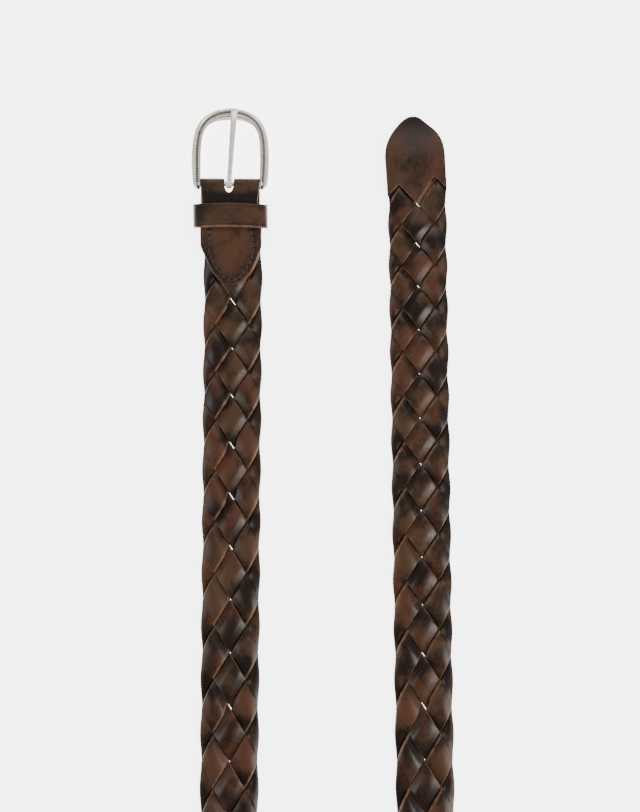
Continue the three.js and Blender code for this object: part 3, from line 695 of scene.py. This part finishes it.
def chart_level(along):
    """How far up or down a strip lies, from -1 under to 1 over, and a little more in the middle of
    each crossing."""
    past, side = past_turn(along)
    far = np.abs(past)
    near_turn = np.sin(pi / 2 * np.clip(far / TURN_RAMP, 0, 1))
    crossing = np.sin(pi / 2 * np.clip((1.5 - far) / CROSS_RAMP, -1, 1))
    level = np.where(far < 1, near_turn, crossing)
    cell = far - np.round(far)
    pillow = np.where(far < 0.5, 1.0, 1 + PILLOW * np.cos(pi * cell))
    return side * np.sign(past) * level * pillow


def half_widths(column, along, side):
    """Half widths of a strip in cells: strips stand back at the open slits, falling ones the most."""
    place, turning = past_turn(along)
    falling = (turning > 0) == (place > 0)
    start = along - np.where(turning > 0, place, place + CELLS_ACROSS)
    into = along - start
    slit_at = 2.5 if side > 0 else 1.5
    count = column + (start + slit_at) / 2 + 0.25 * side
    nearest = np.round(count - 0.5) + 0.5
    open_share = np.array([SLIT_TABLE.get(float(c), CLOSED_SLIT) for c in nearest])
    notch = open_share * smooth(1 - np.abs(into - slit_at) / SLIT_SPREAD)
    return STRIP_HALF - np.where(falling, SLIT_FALLING, SLIT_RISING) * notch


def distance_to_count(distance):
    counts = np.linspace(-10, 45, 5501)
    return float(np.interp(distance, count_to_distance(counts), counts))


# Section of a strip: over its face, down its cut edges and back underneath. FACE_ACROSS and
# BACK_ACROSS are shares of its half width, CUT_ROWS pairs of a share of its bevelled edge and a drop
FACE_ACROSS = [-1.0, -0.94, -0.82, -0.6, -0.3, 0.0, 0.3, 0.6, 0.82, 0.94, 1.0]
CUT_ROWS = [(0.35, 0.0001), (0.75, 0.0003), (1.0, 0.00055)]
BACK_ACROSS = [0.97, 0.8, 0.4, 0.0, -0.4, -0.8, -0.97]
UPPER_BEVEL = 0.21
PLAIN_BEVEL = 0.06


def strip_section(bevel, other_bevel):
    """Rows of (share of the half width, height from the strip's middle, rim, face) round a strip. Its
    cut edges have their own widths, the right one first."""
    def crown(share):
        return STRIP_CROWN * np.abs(share) ** 2.2

    rows = []
    half = STRIP_THICKNESS / 2
    for across in FACE_ACROSS:
        share = across * (1 - (bevel if across > 0 else other_bevel))
        rows.append((share, half - crown(share), 0.0, 1))
    for cut, drop in CUT_ROWS:
        share = 1 - bevel * (1 - cut)
        rows.append((share, half - crown(share) - drop, 1.0, 1))
    rows += [
        (np.full_like(bevel, across), -half - 0.35 * crown(across), 0.0, -1) for across in BACK_ACROSS]
    for cut, drop in CUT_ROWS[::-1]:
        share = 1 - other_bevel * (1 - cut)
        rows.append((-share, half - crown(share) - drop, 1.0, 1))
    return rows


def build_strand(k):
    """Strip k of the braid, from inside the tab to inside the tip."""
    first = FIRST_COLUMN + k
    start = 2 * (distance_to_count(SLOT_LENGTH + 2 * CLEARANCE) + STRIP_HALF / 2 - first)
    end = 2 * (distance_to_count(RIGHT_BAR_LEVEL + TIP_POCKET + STRIP_OVERRUN) - STRIP_HALF / 2 - first)
    along = np.linspace(start, end, int((end - start) / STATION_STEP))
    level = chart_level(along)
    edges = [chart_edge(first, along, side, half_widths(first, along, side)) for side in (-1, 1)]
    past, turning = past_turn(along)
    cell = np.abs(past) - np.round(np.abs(past))
    lean = along - np.round(along)
    # 1 where the strip falls, 0 where it rises, changing smoothly at the turns
    falling = smooth(0.5 + turning * np.sign(past) * np.minimum(np.abs(past), 4 - np.abs(past)) / 0.8)
    bevel = PLAIN_BEVEL + (UPPER_BEVEL - PLAIN_BEVEL) * falling
    plain = np.full_like(bevel, PLAIN_BEVEL)
    random = np.random.default_rng(40 + k)
    which = np.round(along).astype(int) % TONE_CELLS
    cell_tone = random.uniform(-0.26, 0.24, TONE_CELLS)[which]
    cell_hue = random.uniform(-0.1, 1.1, TONE_CELLS)[which]
    over = np.clip(level, 0, 1)
    mound = np.cos(pi * np.clip(cell, -0.5, 0.5))
    points, plane, tones = [], [], {"tone_and_painted_light": [], "hue": [], "rim": []}
    for side, height, rim, face in strip_section(bevel, plain):
        share = (1 + side) / 2
        column = edges[0][0] * (1 - share) + edges[1][0] * share
        line = edges[0][1] * (1 - share) + edges[1][1] * share
        place = np.clip((line - column) / 2 - 1, -1, 1)
        count = (column + line) / 2
        distance = count_to_distance(count)
        bulge = 1 + SCALLOP * np.cos(2 * pi * count) * np.abs(place) ** 3
        across = bulge * STRAP_WIDTH / 2 * np.sin(EDGE_CROWDING * place) / math.sin(EDGE_CROWDING)
        full = fullness(distance)
        skived = SKIVED_THICKNESS / STRIP_THICKNESS
        rise = SKIVED_LEVEL + (LEVEL_HEIGHT - SKIVED_LEVEL) * full
        free = smooth((distance - SWELL_START) / SWELL_RUN) * smooth((SWELL_END - distance) / SWELL_RUN)
        rise = rise + FREE_SWELL * free * over * mound
        points.append(strap_point(distance, across, level * rise + height * (skived + (1 - skived) * full)))
        plane.append(np.stack([along * CELL_LENGTH, side * FLAT_HALF_WIDTH + FLAT_SPACING * k], axis=-1))
        # Lighter middles of raised cells: partly real wear, partly painted shade where the strip dips under
        # the others. The lean term is a painted highlight towards one end of each raised cell and painted
        # shade towards the other. Underneath, the lightness is halved.
        worn = over * mound ** 0.7
        shade = 0.27 + 0.3 * worn * (1 - 0.45 * np.abs(side) ** 5) + cell_tone - 0.5 * lean * worn
        tones["tone_and_painted_light"].append(shade if face > 0 else shade * 0.5)
        tones["hue"].append(cell_hue)
        tones["rim"].append(rim * (1 - 0.75 * smooth((np.abs(place) - 0.75) / 0.2)))
    points = columns(*points)
    points[..., 2] = np.maximum(points[..., 2], FLOOR_CLEARANCE)
    tones = {key: columns(*values) for key, values in tones.items()}
    faces = loft_faces(*points.shape[:2])
    obj = mesh_object(
        f"braid_strand_{k + 1}", points, faces, BRAID_LEATHER, columns(*plane), tones)
    return dress(obj, "belt", "braided_leather", f"strand_{k + 1}")


for strand in range(4):
    build_strand(strand)

# Buckle: places are given along the bar, up away from the strap, and out of the frame's plane
FRAME_TILT = math.asin((BAR_HEIGHT - FRAME_THICKNESS / 2) / FRAME_REACH)


def buckle_point(x, up, height):
    """Points of the buckle at rest."""
    y = up * math.cos(FRAME_TILT) + height * math.sin(FRAME_TILT)
    z = BAR_HEIGHT - up * math.sin(FRAME_TILT) + height * math.cos(FRAME_TILT)
    return leg_point(-y, x + BUCKLE_SHIFT, z)


# Sizes of the frame's rings, its twisted inner band, its groove and the beads in it
RING_STEP = 0.00016
END_ROUNDING = 0.0022
ROPE_WIDTH = 0.0021
ROPE_PITCH = 0.0012
ROPE_RELIEF = 0.0003
GROOVE_HALF = 0.0006
BEAD_RADIUS = 0.00034
BEAD_PITCH = 0.00155
ROPE_STEPS = 11
BEADS_START = 0.004

# The polished outer band, over its top from outside: out is a share of its width, height of half
# the frame's thickness
OUTER_BAND = table(
    "out height",
    (0.7, -1.0), (0.9, -0.92), (0.98, -0.7), (1.0, -0.35), (1.0, 0.05), (0.97, 0.4), (0.9, 0.68),
    (0.78, 0.88), (0.62, 0.98), (0.46, 0.97), (0.32, 0.88), (0.22, 0.74))


def frame_line():
    """The groove's line from one end of the frame round to the other, in even steps."""
    fine = np.linspace(0, 1, 1500)

    def both_sides(name, size, sign=1):
        half = curve_through(FRAME_TABLE[name], fine)
        return np.concatenate([sign * half[:0:-1], half]) * size

    x, up = both_sides("x", FRAME_HALF_WIDTH, -1), both_sides("up", FRAME_REACH)
    outside, inner = both_sides("outside", FRAME_HALF_WIDTH), both_sides("inside", FRAME_HALF_WIDTH)
    run = run_along(x, up)
    even = np.linspace(0, run[-1], int(run[-1] / RING_STEP))
    x, up, outside, inner = [np.interp(even, run, values) for values in (x, up, outside, inner)]
    tangent = unit(columns(np.gradient(x), np.gradient(up)))
    return {
        "run": even, "middle": columns(x, up),
        "out": columns(-tangent[:, 1], tangent[:, 0]), "outside": outside, "inside": inner,
    }


def frame_rings():
    """Rings of points round the frame's section, and how dark each point is."""
    line = frame_line()
    half = FRAME_THICKNESS / 2
    run, ends = line["run"], np.minimum(line["run"], line["run"][-1] - line["run"])
    rounding = np.sqrt(1 - (1 - np.clip(ends / END_ROUNDING + 0.2, 0, 1)) ** 2)
    even = np.ones_like(run)
    rope = np.minimum(ROPE_WIDTH, 0.78 * line["inside"])
    rows = [(out * line["outside"], height * half * even, 0.0) for out, height in zip(*OUTER_BAND.values())]
    rows += [
        (GROOVE_HALF * side * np.minimum(line["outside"] / MM, 1), (0.92 * half - GROOVE_DEPTH) * even, 1.0)
        for side in (0.8, 0.0, -0.8)]
    for i in range(ROPE_STEPS):
        u = 2 * i / (ROPE_STEPS - 1) - 1
        strand = 0.5 + 0.5 * np.cos(2 * pi * (run / ROPE_PITCH + 0.32 * u))
        dome = math.sqrt(max(1 - u * u, 0))
        height = half * (0.52 + 0.36 * dome) + ROPE_RELIEF * (strand - 0.7) * dome
        dark = np.clip(1.15 - 2.0 * strand, 0, 1) * 0.9 + 0.5 * (abs(u) > 0.9)
        rows.append((-GROOVE_HALF - (u + 1) / 2 * rope, height, np.clip(dark, 0, 1)))
    inner = line["inside"]
    after = GROOVE_HALF + rope
    rest = np.maximum(inner - after, 0)
    rows += [(reach, half * height * even, dark) for reach, height, dark in (
        (-after - 0.12 * rest, 0.44, 0.9), (-after - 0.3 * rest, 0.6, 0.1),
        (-after - 0.7 * rest, 0.52, 0.0), (-inner, 0.2, 0.0), (-inner, -0.45, 0.0),
        (-0.93 * inner, -0.85, 0.0), (-0.8 * inner, -1.0, 0.0))]
    points, groove = [], []
    for reach, height, dark in rows:
        place = line["middle"] + line["out"] * reach[:, None]
        points.append(buckle_point(place[:, 0], place[:, 1], height * rounding))
        groove.append(dark * even)
    return columns(*points), columns(*groove)


def circle(sides):
    angles = 2 * pi * np.arange(sides) / sides
    return np.cos(angles), np.sin(angles)


def build_frame():
    rings, groove = frame_rings()
    cos, sin = circle(24)
    reach = np.interp(0.0, FRAME_TABLE["up"][::-1], FRAME_TABLE["x"][::-1]) * FRAME_HALF_WIDTH
    bar = np.stack([
        buckle_point(x * np.ones_like(cos), BAR_RADIUS * cos, BAR_RADIUS * sin)
        for x in np.linspace(-reach, reach, 9)
    ])
    obj = lofts("silver_frame", [rings, bar], SILVER,
                {"groove": np.concatenate([groove.ravel(), np.zeros(bar.shape[0] * bar.shape[1])])})
    return dress(obj, "frame", "silver_metal", "buckle_frame")


def build_beads():
    """Row of small beads along the groove."""
    line = frame_line()
    places = np.arange(BEADS_START, line["run"][-1] - BEADS_START, BEAD_PITCH)
    middle = columns(*[np.interp(places, line["run"], line["middle"][:, k]) for k in (0, 1)])
    height = 0.92 * FRAME_THICKNESS / 2 - GROOVE_DEPTH + 0.3 * BEAD_RADIUS
    centres = buckle_point(middle[:, 0], middle[:, 1], height)
    work = bmesh.new()
    bmesh.ops.create_icosphere(work, subdivisions=2, radius=BEAD_RADIUS)
    ball = np.array([v.co[:] for v in work.verts])
    shape = np.array([[v.index for v in face.verts] for face in work.faces])
    work.free()
    points = centres[:, None, :] + ball[None]
    faces = shape[None] + len(ball) * np.arange(len(centres))[:, None, None]
    obj = mesh_object("frame_beads", points, faces.reshape(-1, 3).tolist(), SILVER,
                      tones={"groove": np.full(points.shape[:2], 0.2)})
    return dress(obj, "frame", "silver_metal")


def build_prong():
    t = np.linspace(0, 1, 70)
    up, lift, width, thickness = [curve_through(values, t) for values in PRONG_TABLE.values()]
    half_width, half = width * PRONG_WIDTH / 2, thickness * PRONG_THICKNESS / 2
    height = lift * (FRAME_THICKNESS / 2 + CLEARANCE + half)
    drift = PRONG_ROOT_OFFSET + (PRONG_TIP_OFFSET - PRONG_ROOT_OFFSET) * up
    cos, sin = circle(28)
    flat = np.sign(sin) * np.abs(sin) ** 0.55
    wide = np.sign(cos) * np.abs(cos) ** 0.75 * (1 - 0.16 * np.clip(sin, 0, 1))
    shank = np.stack([
        buckle_point(
            drift[i] + half_width[i] * wide, up[i] * PRONG_TIP_REACH + 0 * wide, height[i] + half[i] * flat)
        for i in range(len(t))
    ])
    eye_half = PRONG_TABLE["width"][0] * PRONG_WIDTH / 2
    inner = BAR_RADIUS + CLEARANCE
    cos, sin = circle(16)
    across = eye_half * np.sign(cos) * np.abs(cos) ** 0.5
    radius = inner + PRONG_EYE_WALL * (0.5 + 0.5 * np.sign(sin) * np.abs(sin) ** 0.6)
    eye = np.stack([
        buckle_point(PRONG_ROOT_OFFSET + across, radius * math.cos(angle), radius * math.sin(angle))
        for angle in np.linspace(0, 2 * pi, 40, endpoint=False)
    ])
    faces = loft_faces(*shank.shape[:2]) + loft_faces(*eye.shape[:2], looped=True, first=shank[..., 0].size)
    points = np.concatenate([shank.reshape(-1, 3), eye.reshape(-1, 3)])
    obj = mesh_object("silver_prong", points, faces, SILVER, tones={"groove": np.zeros(len(points))})
    return dress(obj, "prong", "silver_metal", "buckle_prong")


# Tab: run is the distance along the sheet, from the bar down the front flap, or back round the
# fold and down the short flap behind
FOLD_RADIUS = TAB_INSIDE / 2 + TAB_THICKNESS / 2
FOLD_RUN = pi * FOLD_RADIUS


def tab_place(run, across, height):
    """Points of the tab's sheet, folded round the bar."""
    distance = np.clip(run, 0, None)
    full = fullness(distance)
    level = SKIVED_LEVEL + (FLAP_LEVEL - SKIVED_LEVEL) * full
    thickness = SKIVED_THICKNESS + (CAD_STRIP_THICKNESS - SKIVED_THICKNESS) * full
    front = flat_middle(distance) + level + thickness / 2 + CLEARANCE
    front = np.where(distance < TAB_BACK_LENGTH, BAR_HEIGHT + TAB_INSIDE / 2, front) + TAB_THICKNESS / 2
    angle = np.clip(-run / FOLD_RADIUS, 0, pi)
    radius = FOLD_RADIUS + height
    folded = np.where(run < -FOLD_RUN, -run - FOLD_RUN, -radius * np.sin(angle))
    z = np.where(run < -FOLD_RUN, BAR_HEIGHT - radius, BAR_HEIGHT + radius * np.cos(angle))
    front_side = run > 0
    return leg_point(
        np.where(front_side, run, folded), across + BUCKLE_SHIFT, np.where(front_side, front + height, z))


def stitch_places():
    """Holes of the stitching, from one side of the flap round its point to the other."""
    at = STITCH_TABLE["at"] * SHIELD_LENGTH
    half = STITCH_TABLE["half"] * TAB_HALF_WIDTH
    t = np.linspace(0, 1, 400)
    at, half = curve_through(at, t), curve_through(half, t)
    run = run_along(at, half)
    steps = np.arange(0, run[-1], STITCH_PITCH)
    places = columns(*[np.interp(run[-1] - steps, run, values) for values in (at, half)])
    return np.concatenate([places[:0:-1] * (1, -1), places])


def flap_outline():
    """Outline of the whole tab, from its back end round the point of its front flap."""
    shares = np.linspace(0, 1, 60) ** 0.8
    at = curve_through(SHIELD_TABLE["at"], shares) * SHIELD_LENGTH
    half = curve_through(SHIELD_TABLE["half"], shares) * TAB_HALF_WIDTH
    back = -FOLD_RUN - TAB_BACK_LENGTH
    side, other = list(zip(at, half)), list(zip(at, -half))
    return [(back, TAB_HALF_WIDTH), (back, -TAB_HALF_WIDTH)] + other + side[::-1]


def slot_outline():
    """Slot for the prong, narrowing down the front flap, with the sheet on its left."""
    half = SLOT_WIDTH / 2
    t = np.linspace(0, 1, 24)
    at, width = [curve_through(values, t) for values in SLOT_TABLE.values()]
    low = [(a * SLOT_LENGTH, w * half) for a, w in zip(at, width)]
    low += [(a, -w) for a, w in low[::-1]]
    angles = np.linspace(0, pi, 14)
    end = -FOLD_RUN - SLOT_LENGTH + half
    high = [(end - half * math.sin(a), -half * math.cos(a)) for a in angles]
    return [(run, across + PRONG_ROOT_OFFSET) for run, across in low + high]


# Stitch holes: depth and radius of a hole and of the hollow round it
HOLE_DEPTH = 0.0008
HOLE_RADIUS = 0.00095
HOLLOW_DEPTH = 0.00012
HOLLOW_RADIUS = 0.0026
THREAD_RADIUS = 0.0003


def hole_gaps(flat):
    """Distance of each point to the nearest stitch hole."""
    return np.sqrt(((flat[:, None, :] - stitch_places()[None]) ** 2).sum(axis=2)).min(axis=1)


def stitch_relief(flat):
    gaps = hole_gaps(flat)
    dents = -HOLE_DEPTH * smooth(1 - gaps / HOLE_RADIUS)
    valley = -HOLLOW_DEPTH * smooth(1 - gaps / HOLLOW_RADIUS)
    return np.where(flat[:, 0] > 0, dents + valley, 0)


def build_tab():
    points, faces, flat, rims = sheet_body(
        [flap_outline(), slot_outline()], tab_place, TAB_THICKNESS, radius=0.0006, step=0.0004,
        relief=stitch_relief)
    gaps = hole_gaps(flat)
    front = flat[:, 0] > 0
    # Painted shade: the stitch holes are painted nearly black, standing in for the shade inside them.
    painted_hole_shade = np.where(front, smooth((0.00125 - gaps) / 0.0005), 0)
    # Darker round the stitch holes and towards the sides.
    shade = 0.78 - 0.35 * np.where(front, smooth(1 - gaps / 0.0045), 0)
    shade -= 0.35 * smooth(np.abs(flat[:, 1]) / TAB_HALF_WIDTH - 0.3)
    # Painted shadow: the flap is darkened from near the fold to the keeper's end, where the keeper shades
    # it.
    keeper_end = KEEPER_START + KEEPER_DEPTH
    shade -= 1.1 * smooth((flat[:, 0] - 0.0035) / 0.006) * smooth((keeper_end - flat[:, 0]) / 0.003)
    hue = 0.45 + 0.35 * np.sin(flat[:, 0] * 90 + 0.4)
    faded = 0.35 + 0.65 * smooth((flat[:, 1] + 0.002) / 0.01)
    obj = mesh_object("front_tab", points, faces, SMOOTH_LEATHER, flat,
                      {"tone_and_painted_light": shade, "hue": hue, "rim": rims * faded, "painted_hole_shade": painted_hole_shade})
    return dress(obj, "belt", "smooth_leather", "buckle_tab")


def tube(path, radius, sides=8):
    """Rings of points round a path."""
    ahead = unit(np.gradient(path, axis=0))
    side = unit(np.cross(ahead, (0, 0, 1)))
    up = np.cross(side, ahead)
    cos, sin = circle(sides)
    return path[:, None] + radius * (side[:, None] * cos[:, None] + up[:, None] * sin[:, None])


def build_stitches():
    """Thread between neighbouring holes, diving into each."""
    holes = stitch_places()
    bodies = []
    for a, b in zip(holes[:-1], holes[1:]):
        t = np.linspace(0.02, 0.98, 9)
        flat = a + (b - a) * t[:, None]
        height = TAB_THICKNESS / 2 - 0.0007 + 0.0005 * np.sin(pi * t) ** 0.5
        bodies.append(tube(tab_place(flat[:, 0], flat[:, 1], height), THREAD_RADIUS))
    return dress(lofts("tab_stitches", bodies, THREAD), "belt", "dark_thread")


def build_keeper():
    """Band round the strap, its section swept round its outline."""
    t = np.linspace(0, 1, 91)
    x = curve_through(KEEPER_TABLE["x"], t) * KEEPER_HALF_WIDTH
    z = np.maximum(curve_through(KEEPER_TABLE["z"], t) * KEEPER_HEIGHT, 0)
    x = np.concatenate([x, -x[-2:0:-1]])
    z = np.concatenate([z, z[-2:0:-1]])
    ahead = unit(columns(*[np.roll(values, -1) - np.roll(values, 1) for values in (x, z)]))
    inward = columns(-ahead[:, 1], ahead[:, 0])
    run = run_along(x, z)
    points, plane, rims, shade = [], [], [], []
    for deep, out in zip(*KEEPER_SECTION.values()):
        depth = (0.5 - min(out, 0.5)) * KEEPER_WALL
        across, height = x + inward[:, 0] * depth, z + inward[:, 1] * depth
        bow = KEEPER_BOW * smooth(z / KEEPER_HEIGHT) * (across / KEEPER_HALF_WIDTH) ** 2
        distance = KEEPER_START + (0.5 + deep) * KEEPER_DEPTH + bow
        points.append(leg_point(distance, across + BUCKLE_SHIFT, height))
        plane.append(columns(run, np.full_like(run, deep * KEEPER_DEPTH)))
        rims.append(np.full_like(run, 0.9 if deep > 0.45 else 0.2 if deep < -0.48 else 0.0))
        pressed = abs(deep) == KEEPER_LINE
        shade.append(0.5 - 0.2 * pressed - 0.3 * np.abs(across / KEEPER_HALF_WIDTH) ** 4)
    tones = {
        "tone_and_painted_light": columns(*shade),
        "hue": 0.5 + 0.5 * np.sin(np.stack([run] * len(rims), axis=1) * 130),
        "rim": columns(*rims),
    }
    points = columns(*points)
    faces = loft_faces(*points.shape[:2], looped=True)
    obj = mesh_object("leather_keeper", points, faces, SMOOTH_LEATHER, columns(*plane), tones)
    return dress(obj, "belt", "smooth_leather", "keeper_loop")


# Tip: two cut sheets over the strips' ends with a core between them; run is beyond the bar's level
def tip_outline(lower):
    """Outline with the zigzag lower edge, or, for the core, ending above the strips."""
    shares = np.linspace(0, 1, 50) ** 1.3
    at, inner, outer = [curve_through(values, shares) for values in TIP_TABLE.values()]
    at = TIP_REACH - TIP_POINT * at
    drift = TIP_DRIFT * (at + TIP_EDGE_DEPTH) / (TIP_REACH + TIP_EDGE_DEPTH)
    inner = drift + TIP_HALF_WIDTH * inner
    outer = drift - TIP_HALF_WIDTH * outer
    if lower:
        edge = list(zip(-TIP_EDGE_TABLE["below"], TIP_EDGE_TABLE["x"] * TIP_HALF_WIDTH))
    else:
        edge = [(TIP_POCKET + STRIP_OVERRUN, side * TIP_HALF_WIDTH) for side in (-1, 1)]
    fine = resample(list(zip(at, inner)) + edge[::-1] + list(zip(at[::-1], outer[::-1])), 0.0002)
    rounded = sum(np.roll(fine, k, axis=0) for k in range(-5, 6)) / 11
    return rounded[::4]


def tip_top(run, across):
    """Height of the tip's front above the ground."""
    narrowing = smooth((run - TIP_POCKET) / (TIP_REACH - TIP_POCKET))
    thickness = TIP_THICKNESS + (TIP_END_THICKNESS - TIP_THICKNESS) * narrowing
    return thickness - TIP_CROWN * (across / TIP_HALF_WIDTH) ** 2


def build_tip():
    def front(run, across, height):
        return leg_point(RIGHT_BAR_LEVEL + run, across, tip_top(run, across) - TIP_WALL / 2 + height)

    def back(run, across, height):
        return leg_point(RIGHT_BAR_LEVEL + run, across, TIP_WALL / 2 + height)

    def core(run, across, height):
        top, bottom = tip_top(run, across) - TIP_WALL, TIP_WALL
        z = (top + bottom) / 2 + height / TIP_WALL * (top - bottom)
        return leg_point(RIGHT_BAR_LEVEL + run, across, z)

    points, faces, planes, rims = [], [], [], []
    for place, lower, radius in ((front, True, 0.0006), (back, True, 0.0004), (core, False, 0.0002)):
        body, body_faces, flat, rim = sheet_body(
            [tip_outline(lower)], place, TIP_WALL, radius, step=0.0007)
        shift = sum(len(part) for part in points)
        points.append(body)
        faces += [tuple(v + shift for v in face) for face in body_faces]
        planes.append(flat)
        rims.append(rim)
    flat, rim = np.concatenate(planes), np.concatenate(rims)
    shade = 0.62 - 0.4 * smooth(np.abs(flat[:, 1]) / TIP_HALF_WIDTH - 0.5)
    shade -= 0.45 * smooth((flat[:, 0] - 0.022) / 0.02)
    obj = mesh_object("leather_tip", np.concatenate(points), faces, SMOOTH_LEATHER, flat,
                      {"tone_and_painted_light": shade, "hue": 0.4 + 0.5 * np.sin(flat[:, 1] * 150 + flat[:, 0] * 60),
                       "rim": rim * np.where(flat[:, 0] > 0.013, 0.12, 0.7)})
    return dress(obj, "belt", "smooth_leather", "tip_tab")


for build in (build_frame, build_beads, build_prong, build_tab, build_stitches, build_keeper, build_tip):
    build()


# Camera straight above, as in the photo: its picture's middle and scale at the strap's height
PIXEL = 0.000614
PHOTO_WIDTH, PHOTO_HEIGHT = 640, 812
BAR_PIXEL_ROW = 184
AXIS_PIXEL_COLUMN = 326.0
CAMERA_DISTANCE = 1.3
CAMERA_ROLL = math.radians(-0.17)
SENSOR_WIDTH = 36.0
FLOOR_GLOW = 4.5
WORLD_LIGHT = 0.3
LIGHT_TARGET = (0, 0.08, 0)


def add_camera():
    data = bpy.data.cameras.new("camera")
    data.sensor_width = SENSOR_WIDTH
    data.lens = data.sensor_width / 2 / (PHOTO_HEIGHT * PIXEL / 2 / CAMERA_DISTANCE)
    data.clip_end = 20.0
    camera = bpy.data.objects.new("camera", data)
    camera.location = (
        LOOP_SHIFT[0] - (AXIS_PIXEL_COLUMN - PHOTO_WIDTH / 2) * PIXEL,
        BAR[1] - (PHOTO_HEIGHT / 2 - BAR_PIXEL_ROW) * PIXEL,
        CAMERA_DISTANCE + STRAP_THICKNESS / 2,
    )
    camera.rotation_euler = (0, 0, CAMERA_ROLL)
    bpy.context.collection.objects.link(camera)
    bpy.context.scene.camera = camera


def add_light(name, place, size, power):
    """Rectangular softbox that faces the belt."""
    data = bpy.data.lights.new(name, "AREA")
    data.shape = "RECTANGLE"
    data.size, data.size_y = size
    data.energy = power
    light = bpy.data.objects.new(name, data)
    light.location = place
    light.rotation_mode = "QUATERNION"
    light.rotation_quaternion = (Vector(LIGHT_TARGET) - Vector(place)).to_track_quat("-Z", "Y")
    bpy.context.collection.objects.link(light)


def add_stage():
    pale = Nodes("pale_floor").finished({
        "Base Color": (0.9, 0.9, 0.9, 1), "Roughness": 0.9, "Emission Color": (1, 1, 1, 1),
        "Emission Strength": FLOOR_GLOW})
    corners = [(-4, -4, 0), (4, -4, 0), (4, 4, 0), (-4, 4, 0)]
    mesh_object("floor", corners, [(0, 1, 2, 3)], pale, smooth_shading=False)
    world = bpy.data.worlds.new("studio")
    world.use_nodes = True
    background = world.node_tree.nodes["Background"]
    background.inputs[0].default_value = (1, 1, 1, 1)
    background.inputs[1].default_value = WORLD_LIGHT
    bpy.context.scene.world = world
    add_light("left_softbox", (-0.85, -0.15, 0.6), (0.35, 1.3), 7)
    add_light("right_softbox", (0.85, -0.3, 0.65), (0.3, 1.2), 16)
    add_light("top_softbox", (0.1, 1.1, 1.3), (1.4, 0.5), 11)


add_camera()
add_stage()
